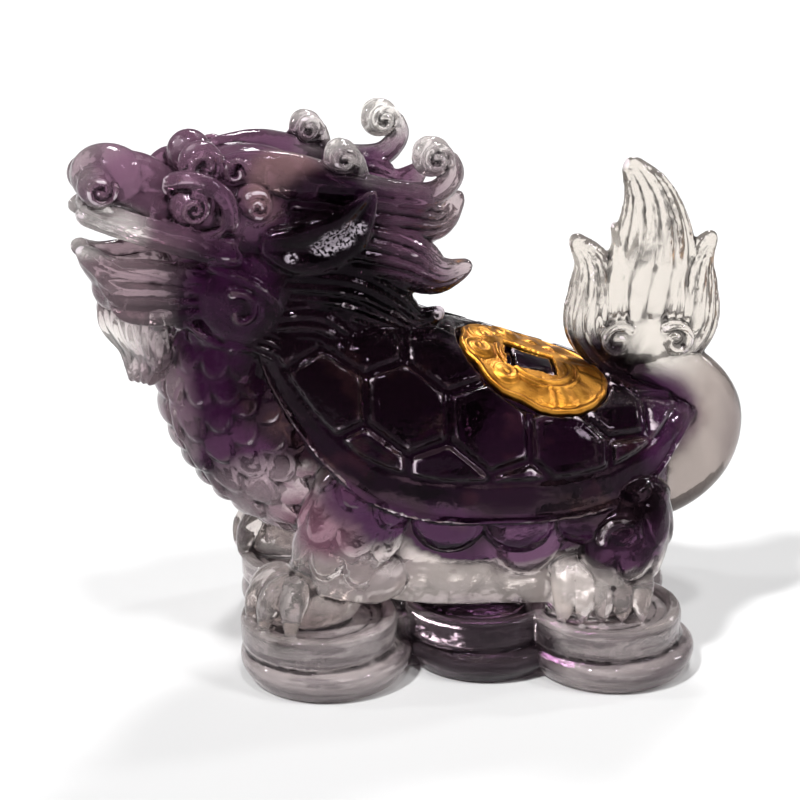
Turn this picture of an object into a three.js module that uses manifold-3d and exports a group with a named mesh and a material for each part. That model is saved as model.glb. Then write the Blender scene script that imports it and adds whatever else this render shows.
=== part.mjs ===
// Dragon turtle figure on a plinth of stacked coins: one casting in purple and clear glass,
// with a gilt coin let into the top of the shell. Millimetres, +Z up, the head towards -X.
// The origin is the middle of the plinth's underside.
import * as THREE from "three";
import { mergeVertices } from "three/addons/utils/BufferGeometryUtils.js";
import Module from "manifold-3d";

// Plinth of six coins in two rows, each coin a stack of two tiers
const COIN_DIAMETER = 23;
const FRONT_COIN_PLACE = [-23.2, 12];
const MIDDLE_COIN_PLACE = [0.8, 7.2];
const REAR_COIN_PLACE = [19, 12];
const LOWER_TIER_HEIGHT = 5.2;
const UPPER_TIER_HEIGHT = 4.4;
const LOWER_TIER_MARGIN = 1.1;
const LOWER_TIER_SLIP = 1;
const COIN_RIM_WIDTH = 2;
const FIELD_DEPTH = 0.8;
const COIN_SIDES = 14;

// Figure: its pose, proportions and carving are hundredths of its length
const FIGURE_LENGTH = 100;

// Gilt coin let into the shell, over the crest and a little to the near side
const GILT_DIAMETER = 22;
const GILT_PLACE = [8.6, -5];
const GILT_HOLE_WIDTH = 6.4;
const GILT_THICKNESS = 1.1;
const GILT_RIM_WIDTH = 1.6;
const GILT_RIM_RAISE = 0.35;
const GILT_CLEARANCE = 0.3;
const GILT_PROUD = 0.5;

const wasm = await Module();
wasm.setup();

const hundredth = FIGURE_LENGTH / 100;
const plinthHeight = LOWER_TIER_HEIGHT + UPPER_TIER_HEIGHT;
const fieldLevel = plinthHeight - FIELD_DEPTH;
const NEAR = -1;
const FAR = 1;

// A point of the figure, in hundredths of its length, z counted from the coins' fields.
function at(x, y, z) {
  return new THREE.Vector3(x * hundredth, y * hundredth, fieldLevel + z * hundredth);
}

// Value at x of a smooth line through [x, value] pairs sorted by x.
function along(pairs, x) {
  const last = pairs.length - 1;
  if (x <= pairs[0][0]) return pairs[0][1];
  if (x >= pairs[last][0]) return pairs[last][1];
  const i = pairs.findIndex((pair) => pair[0] > x) - 1;
  const slope = (a, b) => (pairs[b][1] - pairs[a][1]) / (pairs[b][0] - pairs[a][0]);
  const startSlope = slope(Math.max(i - 1, 0), i + 1);
  const endSlope = slope(i, Math.min(i + 2, last));
  const width = pairs[i + 1][0] - pairs[i][0];
  const t = (x - pairs[i][0]) / width;
  const fromEnd = t * t * (3 - 2 * t);
  return (
    (1 - fromEnd) * pairs[i][1] +
    fromEnd * pairs[i + 1][1] +
    width * t * (1 - t) * ((1 - t) * startSlope - t * endSlope)
  );
}

// A closed three.js geometry as a solid, turned right side out if need be.
function solid(geometry) {
  const bare = geometry.clone();
  bare.deleteAttribute("normal");
  bare.deleteAttribute("uv");
  const merged = mergeVertices(bare, 1e-4);
  const corners = merged.index.array;
  const make = (order) => {
    const kept = [];
    for (let i = 0; i < corners.length; i += 3) {
      const face = order.map((k) => corners[i + k]);
      if (new Set(face).size === 3) kept.push(...face);
    }
    return new wasm.Manifold(
      new wasm.Mesh({
        numProp: 3,
        vertProperties: merged.attributes.position.array,
        triVerts: new Uint32Array(kept),
      }),
    );
  };
  const made = make([0, 1, 2]);
  return made.volume() < 0 ? make([0, 2, 1]) : made;
}

function union(geometries) {
  return geometries.map(solid).reduce((sum, next) => sum.add(next));
}

// A closed tube of rings: place(t, k) gives corner k of the ring at share t of its run, and
// middle(t) gives the middle of an end, where that isn't the mean of its corners.
function loft(rings, sides, place, middle) {
  const geometry = new THREE.CylinderGeometry(1, 1, 1, sides, rings - 1);
  const position = geometry.getAttribute("position");
  const spot = new THREE.Vector3();
  for (let i = 0; i < position.count; i++) {
    spot.fromBufferAttribute(position, i);
    const t = 0.5 - spot.y;
    const corner = Math.round((Math.atan2(spot.x, spot.z) * sides) / (2 * Math.PI));
    const point = new THREE.Vector3();
    if (Math.hypot(spot.x, spot.z) > 0.5) {
      point.copy(place(t, (corner + sides) % sides));
    } else if (middle) {
      point.copy(middle(t));
    } else {
      for (let k = 0; k < sides; k++) point.add(place(t, k));
      point.divideScalar(sides);
    }
    position.setXYZ(i, point.x, point.y, point.z);
  }
  return geometry;
}

// The surface of a tapering tube along a smooth curve, as a function of t, angle and lift.
// Width lies across the facing direction and depth along it; a quarter turn faces it.
function tube(points, width, depth, facing = new THREE.Vector3(0, NEAR, 0)) {
  const curve = new THREE.CatmullRomCurve3(points);
  return (t, angle, lift = 0) => {
    const tangent = curve.getTangentAt(t);
    const across = new THREE.Vector3().crossVectors(tangent, facing).normalize();
    const out = new THREE.Vector3().crossVectors(across, tangent).normalize();
    return curve
      .getPointAt(t)
      .addScaledVector(across, Math.cos(angle) * (width(t) / 2 + lift) * hundredth)
      .addScaledVector(out, Math.sin(angle) * (depth(t) / 2 + lift) * hundredth);
  };
}

function sweep(surface, rings = 8, sides = 7) {
  return loft(rings, sides, (t, k) => surface(t, (k * 2 * Math.PI) / sides));
}

// A tube clad in rows of scales. Each row starts with its raised free edge, which bows
// towards the start of the tube, and slopes down to the foot of the next row's edge.
// Within the bar angle of half a turn the edges run straight across, as belly plates do.
const SCALE_BOW = 0.45;
function scaledTube(surface, { rows, columns, height, bars = 0 }) {
  const sides = 2 * columns;
  const geometry = loft(2 * rows + 2, sides, (t, k) => {
    const ring = Math.round(t * (2 * rows + 1));
    const row = Math.floor(ring / 2);
    const angle = (k * 2 * Math.PI) / sides;
    const raised = ring % 2 === 1 && row < rows;
    const barred = Math.abs(angle - Math.PI) < bars;
    const bowed = (k + row) % 2 === 0 && row > 0 && row < rows && !barred;
    const place = (row - (bowed ? SCALE_BOW : 0)) / rows;
    return surface(place, angle, raised ? height : 0);
  });
  // each four-cornered face is split so that a scale's two halves mirror each other
  const corners = geometry.index.array;
  for (let k = 0; k < sides; k++) {
    for (let ring = 0; ring < 2 * rows + 1; ring++) {
      if ((k + Math.floor(ring / 2)) % 2 === 0) continue;
      const first = 6 * (k * (2 * rows + 1) + ring);
      const [a, b, d, , c] = corners.slice(first, first + 6);
      corners.set([a, b, c, a, c, d], first);
    }
  }
  return geometry;
}

// Width profiles: a plain taper, one through a middle value, and a lock drawn out to a point.
const taper = (start, end) => (t) => start + (end - start) * t;
const swell = (start, middle, end) => (t) =>
  start * (1 - t) * (1 - 2 * t) + 4 * middle * t * (1 - t) + end * t * (2 * t - 1);
const lock = (full) => (t) => full * Math.sin(Math.PI * (0.26 + 0.7 * t));

function ball(centre, [rx, ry, rz]) {
  return new THREE.OctahedronGeometry(1, 1)
    .scale(rx * hundredth, ry * hundredth, rz * hundredth)
    .translate(centre.x, centre.y, centre.z);
}

// Plinth: a barrel-sided lower tier and a rimmed coin on it, with a core under the figure
function coinStack([x, y]) {
  const upper = COIN_DIAMETER / 2;
  const lower = upper + LOWER_TIER_MARGIN;
  const lathe = (profile) =>
    new THREE.LatheGeometry(
      profile.map(([radius, z]) => new THREE.Vector2(radius, z)),
      COIN_SIDES,
    ).rotateX(Math.PI / 2);
  const barrel = lathe([
    [0, 0],
    [lower - 1.4, 0],
    [lower, 0.45 * LOWER_TIER_HEIGHT],
    [lower - 0.9, LOWER_TIER_HEIGHT],
    [0, LOWER_TIER_HEIGHT],
  ]);
  const coin = lathe([
    [0, LOWER_TIER_HEIGHT - 0.6],
    [upper - 0.7, LOWER_TIER_HEIGHT - 0.6],
    [upper, plinthHeight],
    [upper - COIN_RIM_WIDTH, plinthHeight],
    [upper - COIN_RIM_WIDTH - 0.4, fieldLevel],
    [0, fieldLevel],
  ]);
  return [barrel.translate(x + LOWER_TIER_SLIP, y, 0), coin.translate(x, y, 0)];
}

function plinth() {
  const parts = [];
  for (const [x, y] of [FRONT_COIN_PLACE, MIDDLE_COIN_PLACE, REAR_COIN_PLACE]) {
    for (const side of [NEAR, FAR]) parts.push(...coinStack([x, side * y]));
  }
  const length = REAR_COIN_PLACE[0] - FRONT_COIN_PLACE[0];
  const middle = (REAR_COIN_PLACE[0] + FRONT_COIN_PLACE[0]) / 2;
  const core = new THREE.BoxGeometry(length, 2 * FRONT_COIN_PLACE[1], fieldLevel - 0.5);
  parts.push(core.translate(middle, 0, (fieldLevel - 0.5) / 2));
  return parts;
}

// Shell: its crest, rim and half width along the body
const SHELL_START = -31;
const SHELL_END = 33.8;
const SHELL_FLATNESS = 2.5;
const CREST = [[-31, 47], [-16, 44.4], [-3, 40.4], [8, 36.8], [20, 32.8], [33.8, 28]];
const RIM = [[-31, 39], [-29.6, 35.6], [-25.6, 29.5], [-21.5, 24.6], [-16, 20.2], [-8, 17.6], [5, 17], [17.8, 17.9], [25, 20.4], [30.2, 25], [33.8, 27.2]];
const HALF_WIDTH = [[-31, 9.6], [-26, 14], [-16, 17.8], [0, 19.2], [15, 18.2], [25, 13.6], [30, 8.6], [33.8, 2]];

// Point on the shell at x and at share v from the crest (0) to the near (-1) or far (1) rim.
function onShell(x, v, lift = 0) {
  const sine = Math.sin((v * Math.PI) / 2);
  const rim = along(RIM, x);
  const rise = along(CREST, x) - rim + lift;
  const height = Math.max(0, 1 - Math.abs(sine) ** SHELL_FLATNESS) ** (1 / SHELL_FLATNESS);
  return at(x, (along(HALF_WIDTH, x) + lift) * sine, rim + rise * height);
}

// Share v at a distance measured round the shell from its crest.
function shareAt(x, distance) {
  const step = 0.01 * Math.sign(distance);
  let v = 0;
  let run = 0;
  while (run < Math.abs(distance) && Math.abs(v) < 1) {
    run += onShell(x, v).distanceTo(onShell(x, v + step)) / hundredth;
    v += step;
  }
  return v;
}

function carapace() {
  const arc = 12;
  const under = 3;
  const lip = 1.3;
  return loft(11, arc + under, (t, k) => {
    const x = SHELL_START + (SHELL_END - SHELL_START) * t;
    if (k <= arc) return onShell(x, (2 * k) / arc - 1);
    const share = 1 - (2 * (k - arc)) / under;
    return at(x, 0.9 * along(HALF_WIDTH, x) * share, along(RIM, x) - lip);
  });
}

// Six-sided plates in staggered rows round the shell, up to a plain border above the rim.
const PLATE_PITCH = 11.6;
const PLATE_GROOVE = 1.3;
const PLATE_RAISE = 0.7;
const PLATE_SINK = 1;
const PLATE_LIMIT = 0.8;
const PLATE_ROWS = 2;
const PLATE_COLUMNS = 2;
function shellPlates() {
  const made = [];
  const radius = PLATE_PITCH / Math.sqrt(3);
  for (let row = -PLATE_ROWS; row <= PLATE_ROWS; row++) {
    const shift = row % 2 ? 0.5 : 0;
    for (let column = -PLATE_COLUMNS; column <= PLATE_COLUMNS; column++) {
      const x = 1 + (column + shift) * PLATE_PITCH;
      if (Math.abs(shareAt(x, row * 1.5 * radius)) > PLATE_LIMIT) continue;
      const spot = (t, k, reach) => {
        const angle = (k * Math.PI) / 3;
        const px = Math.min(SHELL_END - 2, Math.max(SHELL_START + 1, x + reach * Math.sin(angle)));
        const v = shareAt(px, row * 1.5 * radius + reach * Math.cos(angle));
        const held = Math.max(-PLATE_LIMIT, Math.min(PLATE_LIMIT, v));
        return onShell(px, held, t < 0.5 ? -PLATE_SINK : PLATE_RAISE);
      };
      const corner = (t, k) => spot(t, k, radius - PLATE_GROOVE * (t < 0.5 ? 0.4 : 1));
      made.push(loft(2, 6, corner, (t) => spot(t, 0, 0)));
    }
  }
  return made;
}

// Round flaps that hang below the shell's rim like the edge of a petal skirt.
const PETAL_PITCH = 10;
function skirt(side) {
  const made = [];
  for (let x = -14.5; x <= 16; x += PETAL_PITCH) {
    const centre = at(x, side * (along(HALF_WIDTH, x) - 2.4), along(RIM, x) - 1.6);
    const petal = new THREE.CylinderGeometry(3.4 * hundredth, 5.4 * hundredth, 3.4 * hundredth, 8);
    made.push(petal.rotateX(side === NEAR ? Math.PI : 0).translate(centre.x, centre.y, centre.z));
  }
  return made;
}

// Trunk under the shell, with a sharp lower edge like a boat's, standing on the coins.
// Corners of half its section, as shares of the half width and of the height.
const TRUNK_CORNERS = [[1, 1], [0.97, 0.6], [0.82, 0.17], [0.55, 0]];
const TRUNK_HALF = [[-30, 7], [-22, 13.4], [-10, 16], [8, 16.2], [19, 14], [29, 6]];
const TRUNK_BOTTOM = [[-30, 18], [-24, 7], [-18, 2], [-10, 0], [3, -0.4], [14, -0.4], [21, 3], [29, 14]];
function trunk() {
  const start = -30;
  const end = 29;
  const corners = [...TRUNK_CORNERS, ...TRUNK_CORNERS.map(([y, z]) => [-y, z]).reverse()];
  return loft(11, corners.length, (t, k) => {
    const x = start + (end - start) * t;
    const bottom = along(TRUNK_BOTTOM, x);
    const top = along(RIM, x) + 3;
    const [y, z] = corners[k];
    return at(x, y * along(TRUNK_HALF, x), bottom + (top - bottom) * z);
  });
}

// Neck and chest: scaled flanks, and belly plates up the front
const neckSurface = tube(
  [at(-18, 0, 18), at(-29.4, 0, 23), at(-36.4, -0.5, 32.6), at(-35.2, -1.5, 43), at(-31.5, -2, 50)],
  (t) => along([[0, 20], [0.35, 20], [0.65, 17.2], [1, 15]], t),
  (t) => along([[0, 24], [0.35, 22.6], [0.65, 19], [1, 15]], t),
);
function neck() {
  return scaledTube(neckSurface, { rows: 8, columns: 9, height: 1.2, bars: 0.2 * Math.PI });
}

// Legs: scaled limbs on broad clawed feet
const FOOT_OUTWARD = 1.2;
function toe(path, full, facing) {
  const width = (t) => full * along([[0, 0.85], [0.45, 1], [0.8, 0.75], [1, 0.25]], t);
  const depth = (t) => along([[0, 3.4], [0.45, 3.8], [0.8, 2.8], [1, 0.9]], t);
  return sweep(tube(path, width, depth, facing), 4, 4);
}

function frontLeg(side, forward) {
  const x = FRONT_COIN_PLACE[0] / hundredth - forward;
  const y = side * (FRONT_COIN_PLACE[1] / hundredth + FOOT_OUTWARD);
  const outward = new THREE.Vector3(0, side, 0);
  const forearm = tube(
    [at(x + 5.4, y, 7.4), at(x + 8, side * 13, 14.6), at(x + 12.4, side * 11.2, 22.5)],
    swell(12, 14, 15),
    swell(9.4, 11, 11),
    outward,
  );
  const toes = [-24, 12, 48, 84].map((degrees) => {
    const heading = THREE.MathUtils.degToRad(degrees);
    const spot = (reach, z) => at(x - reach * Math.cos(heading), y + side * reach * Math.sin(heading), z);
    const across = new THREE.Vector3(side * Math.sin(heading), Math.cos(heading), 0);
    return toe([spot(1.5, 6.2), spot(4.4, 6), spot(6.6, 3), spot(6.9, 0)], 3.6, across);
  });
  return [
    scaledTube(forearm, { rows: 3, columns: 6, height: 1.3 }),
    ball(at(x + 1.2, y, 3.6), [8, 5.4, 5]),
    ...toes,
  ];
}

function hindLeg(side) {
  const x = REAR_COIN_PLACE[0] / hundredth - 1.6;
  const y = side * (REAR_COIN_PLACE[1] / hundredth + FOOT_OUTWARD);
  const outward = new THREE.Vector3(0, side, 0);
  const shin = tube(
    [at(x + 2, y, 6.8), at(x + 4, side * 13.2, 13.4), at(x + 4, side * 10.6, 21)],
    swell(10, 11.6, 12),
    swell(9, 10, 10),
    outward,
  );
  const toes = [-4.8, -2.4, 0, 2.4, 4.8].map((across) => {
    const spot = (reach, z) => at(x + across, y + side * reach, z);
    return toe([spot(-3, 5), spot(2.4, 7.4), spot(5, 4), spot(5, 0.2)], 2.2, new THREE.Vector3(1, 0, 0));
  });
  return [
    scaledTube(shin, { rows: 3, columns: 6, height: 1.2 }),
    ball(at(x, y - side, 3), [7.4, 5.6, 5.4]),
    ...toes,
  ];
}

// Tail: a thick band round the back of the shell that ends in a flame
function tail() {
  const loop = tube(
    [at(22, 0, 13.6), at(30, 0, 15), at(35.2, 0, 20), at(36, 0, 26.6), at(32.6, 0, 31.6), at(26, 0, 34.6)],
    (t) => along([[0, 9], [0.5, 9.4], [1, 8]], t),
    (t) => along([[0, 10], [0.5, 9], [1, 7]], t),
  );
  return sweep(loop, 9, 8);
}

const FLAME_TONGUES = [
  { path: [[25.2, 34.6], [26, 45], [26.6, 53], [25.6, 59.4], [22.6, 64.6]], width: 13, depth: 6 },
  { path: [[22.4, 34.6], [18.2, 40], [18.1, 45.4], [17.4, 49.6], [14.8, 53.4]], width: 8.6, depth: 5.4 },
  { path: [[28.8, 34.6], [32.4, 40], [32.6, 45.4], [33.1, 49.6], [35.4, 53.6]], width: 8.6, depth: 5.4 },
];
function flame() {
  const tongues = FLAME_TONGUES.map(({ path, width, depth }) => {
    const surface = tube(path.map(([x, z]) => at(x, 0, z)), lock(width), lock(depth));
    const sides = 8;
    const rib = (t) => 0.14 * lock(depth)(t);
    return loft(7, sides, (t, k) => surface(t, (k * 2 * Math.PI) / sides, k % 2 ? rib(t) : 0));
  });
  return [...tongues, ball(at(25.8, 0, 38.2), [9.8, 3.8, 5.6])];
}

// Head: turned to the near side, raised and tipped a little, in a frame of its own:
// u forward along the snout, v to the near side, w up.
const HEAD_PLACE = at(-33, -2, 52);
const HEAD_TURN = 17;
const HEAD_PITCH = 15;
const HEAD_ROLL = 4;
const headFrame = (() => {
  const turn = THREE.MathUtils.degToRad(HEAD_TURN);
  const pitch = THREE.MathUtils.degToRad(HEAD_PITCH);
  const forward = new THREE.Vector3(
    -Math.cos(turn) * Math.cos(pitch),
    -Math.sin(turn) * Math.cos(pitch),
    Math.sin(pitch),
  );
  const near = new THREE.Vector3(Math.sin(turn), -Math.cos(turn), 0);
  near.applyAxisAngle(forward, THREE.MathUtils.degToRad(-HEAD_ROLL));
  const up = new THREE.Vector3().crossVectors(forward, near);
  return new THREE.Matrix4().makeBasis(forward, near, up).setPosition(HEAD_PLACE);
})();
const SMALL_BALL = 4;
const headNear = new THREE.Vector3().setFromMatrixColumn(headFrame, 1);

function headBall(u, v, w, [ru, rv, rw]) {
  const small = Math.max(ru, rv, rw) < SMALL_BALL;
  const round = small ? new THREE.OctahedronGeometry(1, 1) : new THREE.IcosahedronGeometry(1, 1);
  return round
    .scale(ru, rv, rw)
    .translate(u, v, w)
    .scale(hundredth, hundredth, hundredth)
    .applyMatrix4(headFrame);
}

// A sweep through points of the head; side -1 mirrors it to the far half.
function headSweep(points, width, depth, rings = 5, sides = 5, side = 1) {
  const placed = points.map(([u, v, w]) =>
    new THREE.Vector3(u, side * v, w).multiplyScalar(hundredth).applyMatrix4(headFrame),
  );
  return sweep(tube(placed, width, depth, headNear.clone().multiplyScalar(side)), rings, sides);
}

function muzzle() {
  return [
    headBall(0.6, 0, 6, [12, 8.6, 10.4]),
    headBall(3, 0, -2.4, [8.6, 7.6, 8.6]),
    headSweep([[4, 0, 6.4], [13, 0, 5], [18.6, 0, 5.6], [23, 0, 6.6]], swell(14, 8.4, 7.4), swell(14, 9.6, 8), 6, 8),
    headBall(22.6, 0, 7.6, [4.4, 4.6, 4.6]),
    headBall(22.8, 0, 3.6, [3.6, 4, 2.8]),
    headSweep([[2, 0, -4.4], [11, 0, -5.6], [18, 0, -6.2], [22.6, 0, -4]], swell(13, 8.2, 2.6), swell(13, 9, 4.4), 5, 7),
    headBall(18.8, 0, -7, [3.9, 3.9, 3.8]),
  ];
}

function headSide(side) {
  const sweepOn = (points, width, depth, rings, sides) => headSweep(points, width, depth, rings, sides, side);
  const ballOn = (u, v, w, radii) => headBall(u, side * v, w, radii);
  return [
    // nostril, upper lip and the fringe of the jaw
    ballOn(24, 3.6, 7.2, [2.6, 1.8, 2.5]),
    sweepOn([[25, 1.8, 2.6], [20, 4.6, 1.4], [12, 6.8, 1.4], [3, 8.2, 2]], taper(2.6, 3.4), taper(2.6, 3), 5, 4),
    sweepOn([[22.4, 2.4, -5.2], [16, 5, -8.8], [10, 6.6, -8.6], [4, 7.8, -5.6]], taper(2.6, 3.6), taper(2.4, 3), 5, 4),
    // eye under its brow, curls up the forehead, and the round jowl
    ballOn(11.4, 5.6, 7.2, [2.8, 2.9, 2.8]),
    sweepOn([[15.4, 3.8, 9.6], [12, 6.6, 11.2], [7.6, 7.6, 10.4], [5.4, 8, 6.4]], swell(2.2, 3, 2), swell(2.4, 3.2, 2), 5, 4),
    ballOn(10.6, 3.4, 13, [3.2, 2.8, 3.2]),
    ballOn(3.4, 7, 10, [3, 2.2, 3]),
    ballOn(1.6, 6.8, -2.4, [7, 3.6, 7]),
  ];
}

// Horns: each runs back from the brow with one branch, and both end in a curled knob.
function horn(side) {
  const beam = [[8, 3.4, 12.4], [0, 6, 14], [-9, 8.2, 14.4], [-17, 9.8, 15.4], [-22.4, 11, 18.4], [-20.8, 11.2, 22]];
  return [
    headSweep(
      beam,
      (t) => along([[0, 7], [0.3, 6.6], [0.55, 4.4], [0.8, 3.6], [1, 2.6]], t),
      (t) => along([[0, 5], [0.4, 4.6], [0.8, 3.4], [1, 2.6]], t),
      7,
      5,
      side,
    ),
    headBall(-19.2, side * 11, 21.6, [2.9, 2.3, 2.9]),
    headSweep([[-4, 7.4, 13.6], [-9.4, 8.2, 15.2], [-9.2, 8.4, 18.6]], taper(4, 2.6), taper(3.4, 2.4), 4, 5, side),
    headBall(-7.2, side * 8.2, 18.6, [2.5, 2, 2.5]),
  ];
}

function ear(side) {
  const leaf = [[1, 7.6, 4.4], [-4.6, 10.6, 5.6], [-9, 12, 8.8], [-11.8, 12.2, 15.4]];
  return headSweep(leaf, (t) => 8 * Math.sin(Math.PI * (0.12 + 0.82 * t)), taper(3.6, 1), 6, 5, side);
}

// Mane: locks that stream back from the cheek and nape on each side, over a full mass.
const MANE_LOCKS = [
  { path: [[-3, 5.6, 10], [-13, 8, 11.6], [-20, 8.6, 12.8], [-26.4, 7.4, 15.6]], width: 9.6 },
  { path: [[-3, 7.6, 2.6], [-13, 10, 5.4], [-22.6, 10, 5.6], [-30.6, 9, 6.6]], width: 9.6 },
  { path: [[-3, 7.6, -3.6], [-12, 10.8, -0.6], [-20, 11.2, -2.4], [-27, 11, -1.6]], width: 7.6 },
  { path: [[-2, 7.4, -8], [-9, 10.8, -6.6], [-17, 12.2, -9.6], [-25, 12, -7.4]], width: 7.2 },
];
const NAPE_LOCK = { path: [[-4, 0, 6], [-14, 0, 8], [-22, 0, 8], [-29, 0, 11]], width: 11 };
function mane() {
  const made = [headBall(-8, 0, 1.5, [12.4, 8.4, 11.4])];
  for (const side of [1, -1]) {
    for (const { path, width } of MANE_LOCKS) {
      made.push(headSweep(path, lock(width), lock(4), 5, 5, side));
    }
  }
  made.push(headSweep(NAPE_LOCK.path, lock(NAPE_LOCK.width), lock(9), 6, 6));
  return made;
}

function beard() {
  return [-2, 0, 2].map((across, i) => {
    const root = [17 - 2.4 * i, across, -9.4];
    const middle = [14.8 - 1.8 * i, across, -15];
    const tip = [10.8 - 0.6 * i, 0.7 * across, -21.6 + 0.6 * i];
    return headSweep([root, middle, tip], lock(4.6), lock(3.6), 5, 5);
  });
}

// Gilt coin: a thin ring bent over the shell, with a square hole and a raised rim.
// Its outline runs in [share from the hole to the edge, lift] pairs.
const GILT_SEGMENTS = 20;
function giltRing(holeHalf, outer, outline) {
  const geometry = new THREE.TorusGeometry(2, 1, outline.length, GILT_SEGMENTS);
  const position = geometry.getAttribute("position");
  for (let i = 0; i < position.count; i++) {
    const column = i % (GILT_SEGMENTS + 1);
    const [share, lift] = outline[Math.floor(i / (GILT_SEGMENTS + 1)) % outline.length];
    const angle = ((column % GILT_SEGMENTS) * 2 * Math.PI) / GILT_SEGMENTS;
    const cosine = Math.cos(angle + Math.PI / 4);
    const sine = Math.sin(angle + Math.PI / 4);
    const inner = holeHalf / Math.max(Math.abs(cosine), Math.abs(sine));
    const radius = (inner + (outer - inner) * share) / hundredth;
    const x = GILT_PLACE[0] / hundredth + radius * cosine;
    const v = shareAt(x, GILT_PLACE[1] / hundredth + radius * sine);
    const point = onShell(x, v, lift / hundredth);
    position.setXYZ(i, point.x, point.y, point.z);
  }
  return geometry;
}

function giltCoin() {
  const outer = GILT_DIAMETER / 2;
  const low = GILT_PROUD - GILT_THICKNESS;
  const rim = GILT_RIM_WIDTH / (outer - GILT_HOLE_WIDTH / 2);
  return giltRing(GILT_HOLE_WIDTH / 2, outer, [
    [0, low],
    [0, GILT_PROUD],
    [0.5, GILT_PROUD],
    [1 - rim, GILT_PROUD],
    [1 - 0.7 * rim, GILT_PROUD + GILT_RIM_RAISE],
    [1, GILT_PROUD + GILT_RIM_RAISE],
    [1, low],
    [0.5, low],
  ]);
}

function giltSeat() {
  const outer = GILT_DIAMETER / 2 + GILT_CLEARANCE;
  const low = GILT_PROUD - GILT_THICKNESS - GILT_CLEARANCE;
  const high = 3;
  return giltRing(GILT_HOLE_WIDTH / 2 - GILT_CLEARANCE, outer, [
    [0, low],
    [0, high],
    [0.5, high],
    [1, high],
    [1, low],
    [0.5, low],
  ]);
}

function meshOf(name, made, colour, roughness, metalness) {
  const { vertProperties, triVerts } = made.getMesh();
  const geometry = new THREE.BufferGeometry();
  geometry.setAttribute("position", new THREE.BufferAttribute(vertProperties, 3));
  geometry.setIndex(new THREE.BufferAttribute(triVerts, 1));
  geometry.computeVertexNormals();
  const material = new THREE.MeshStandardMaterial({ color: colour, roughness, metalness });
  const mesh = new THREE.Mesh(geometry, material);
  mesh.name = name;
  return mesh;
}

const figure = union([
  ...plinth(),
  trunk(),
  carapace(),
  ...shellPlates(),
  ...skirt(NEAR),
  ...skirt(FAR),
  neck(),
  ...frontLeg(NEAR, 3),
  ...frontLeg(FAR, 5),
  ...hindLeg(NEAR),
  ...hindLeg(FAR),
  tail(),
  ...flame(),
  ...muzzle(),
  ...headSide(1),
  ...headSide(-1),
  ...horn(1),
  ...horn(-1),
  ear(1),
  ear(-1),
  ...mane(),
  ...beard(),
]).subtract(solid(giltSeat()));

const dragonTurtle = new THREE.Group();
dragonTurtle.add(meshOf("dragon_turtle", figure, 0x4a2a5e, 0.08, 0));
dragonTurtle.add(meshOf("gilt_coin", solid(giltCoin()), 0xc8923a, 0.35, 1));
// the middle of the lower tiers' outline comes to the origin
dragonTurtle.position.x = -(FRONT_COIN_PLACE[0] + REAR_COIN_PLACE[0]) / 2 - LOWER_TIER_SLIP;
export default dragonTurtle;
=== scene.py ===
# Dragon turtle figure in purple and clear cast glass, on a plinth of stacked coins, with a
# gilt coin on its shell. Lengths in the sections are millimetres, counted as the solids are.
from math import cos, pi, radians, sin, sqrt

import bmesh
import bpy
import numpy as np
from mathutils import Matrix, Vector


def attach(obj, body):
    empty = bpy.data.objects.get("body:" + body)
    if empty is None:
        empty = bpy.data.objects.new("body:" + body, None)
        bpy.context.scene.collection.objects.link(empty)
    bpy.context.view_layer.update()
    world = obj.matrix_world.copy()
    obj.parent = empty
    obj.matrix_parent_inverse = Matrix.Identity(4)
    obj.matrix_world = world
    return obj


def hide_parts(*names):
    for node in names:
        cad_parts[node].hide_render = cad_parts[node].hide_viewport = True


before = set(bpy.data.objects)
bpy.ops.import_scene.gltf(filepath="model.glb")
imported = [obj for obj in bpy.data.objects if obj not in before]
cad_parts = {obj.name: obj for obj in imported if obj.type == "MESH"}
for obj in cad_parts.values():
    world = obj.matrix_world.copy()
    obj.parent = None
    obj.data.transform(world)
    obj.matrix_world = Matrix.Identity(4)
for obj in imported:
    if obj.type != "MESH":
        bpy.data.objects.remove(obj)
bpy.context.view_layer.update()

# Plinth: six stacks of two coins in two rows, cast in one with the figure in clear grey glass.
# Each stack is turned on its own axis: a barrel-sided lower tier that has slipped a little to
# the rear, and a coin on it with a raised rim round a sunk field.
COIN_DIAMETER = 23
FRONT_COIN = (-23.2, 12)
MIDDLE_COIN = (0.8, 7.2)
REAR_COIN = (19, 12)
LOWER_HEIGHT = 5.2
UPPER_HEIGHT = 4.4
LOWER_TIER_MARGIN = 1.1
LOWER_TIER_SLIP = 1
COIN_RIM_WIDTH = 2
FIELD_DEPTH = 0.8
COIN_STEPS = 110
CLOSE = 1e-5
plinth_height = LOWER_HEIGHT + UPPER_HEIGHT
field_level = plinth_height - FIELD_DEPTH

casting = bmesh.new()


def mesh_of(form, name):
    """Turns a finished form into a mesh."""
    mesh = bpy.data.meshes.new(name)
    form.to_mesh(mesh)
    form.free()
    return mesh


def cast(form):
    """Adds a finished form to the casting."""
    mesh = mesh_of(form, "form")
    casting.from_mesh(mesh)
    bpy.data.meshes.remove(mesh)


def turn(profile, centre):
    """Turns a line of (radius, height) pairs, which starts and ends on the axis, round centre."""
    form = bmesh.new()
    verts = [form.verts.new((centre[0] + radius, centre[1], z)) for radius, z in profile]
    edges = [form.edges.new(pair) for pair in zip(verts, verts[1:])]
    bmesh.ops.spin(
        form, geom=verts + edges, cent=(*centre, 0), axis=(0, 0, 1),
        angle=2 * pi, steps=COIN_STEPS, use_merge=True,
    )
    bmesh.ops.remove_doubles(form, verts=form.verts, dist=CLOSE)
    cast(form)


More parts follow.
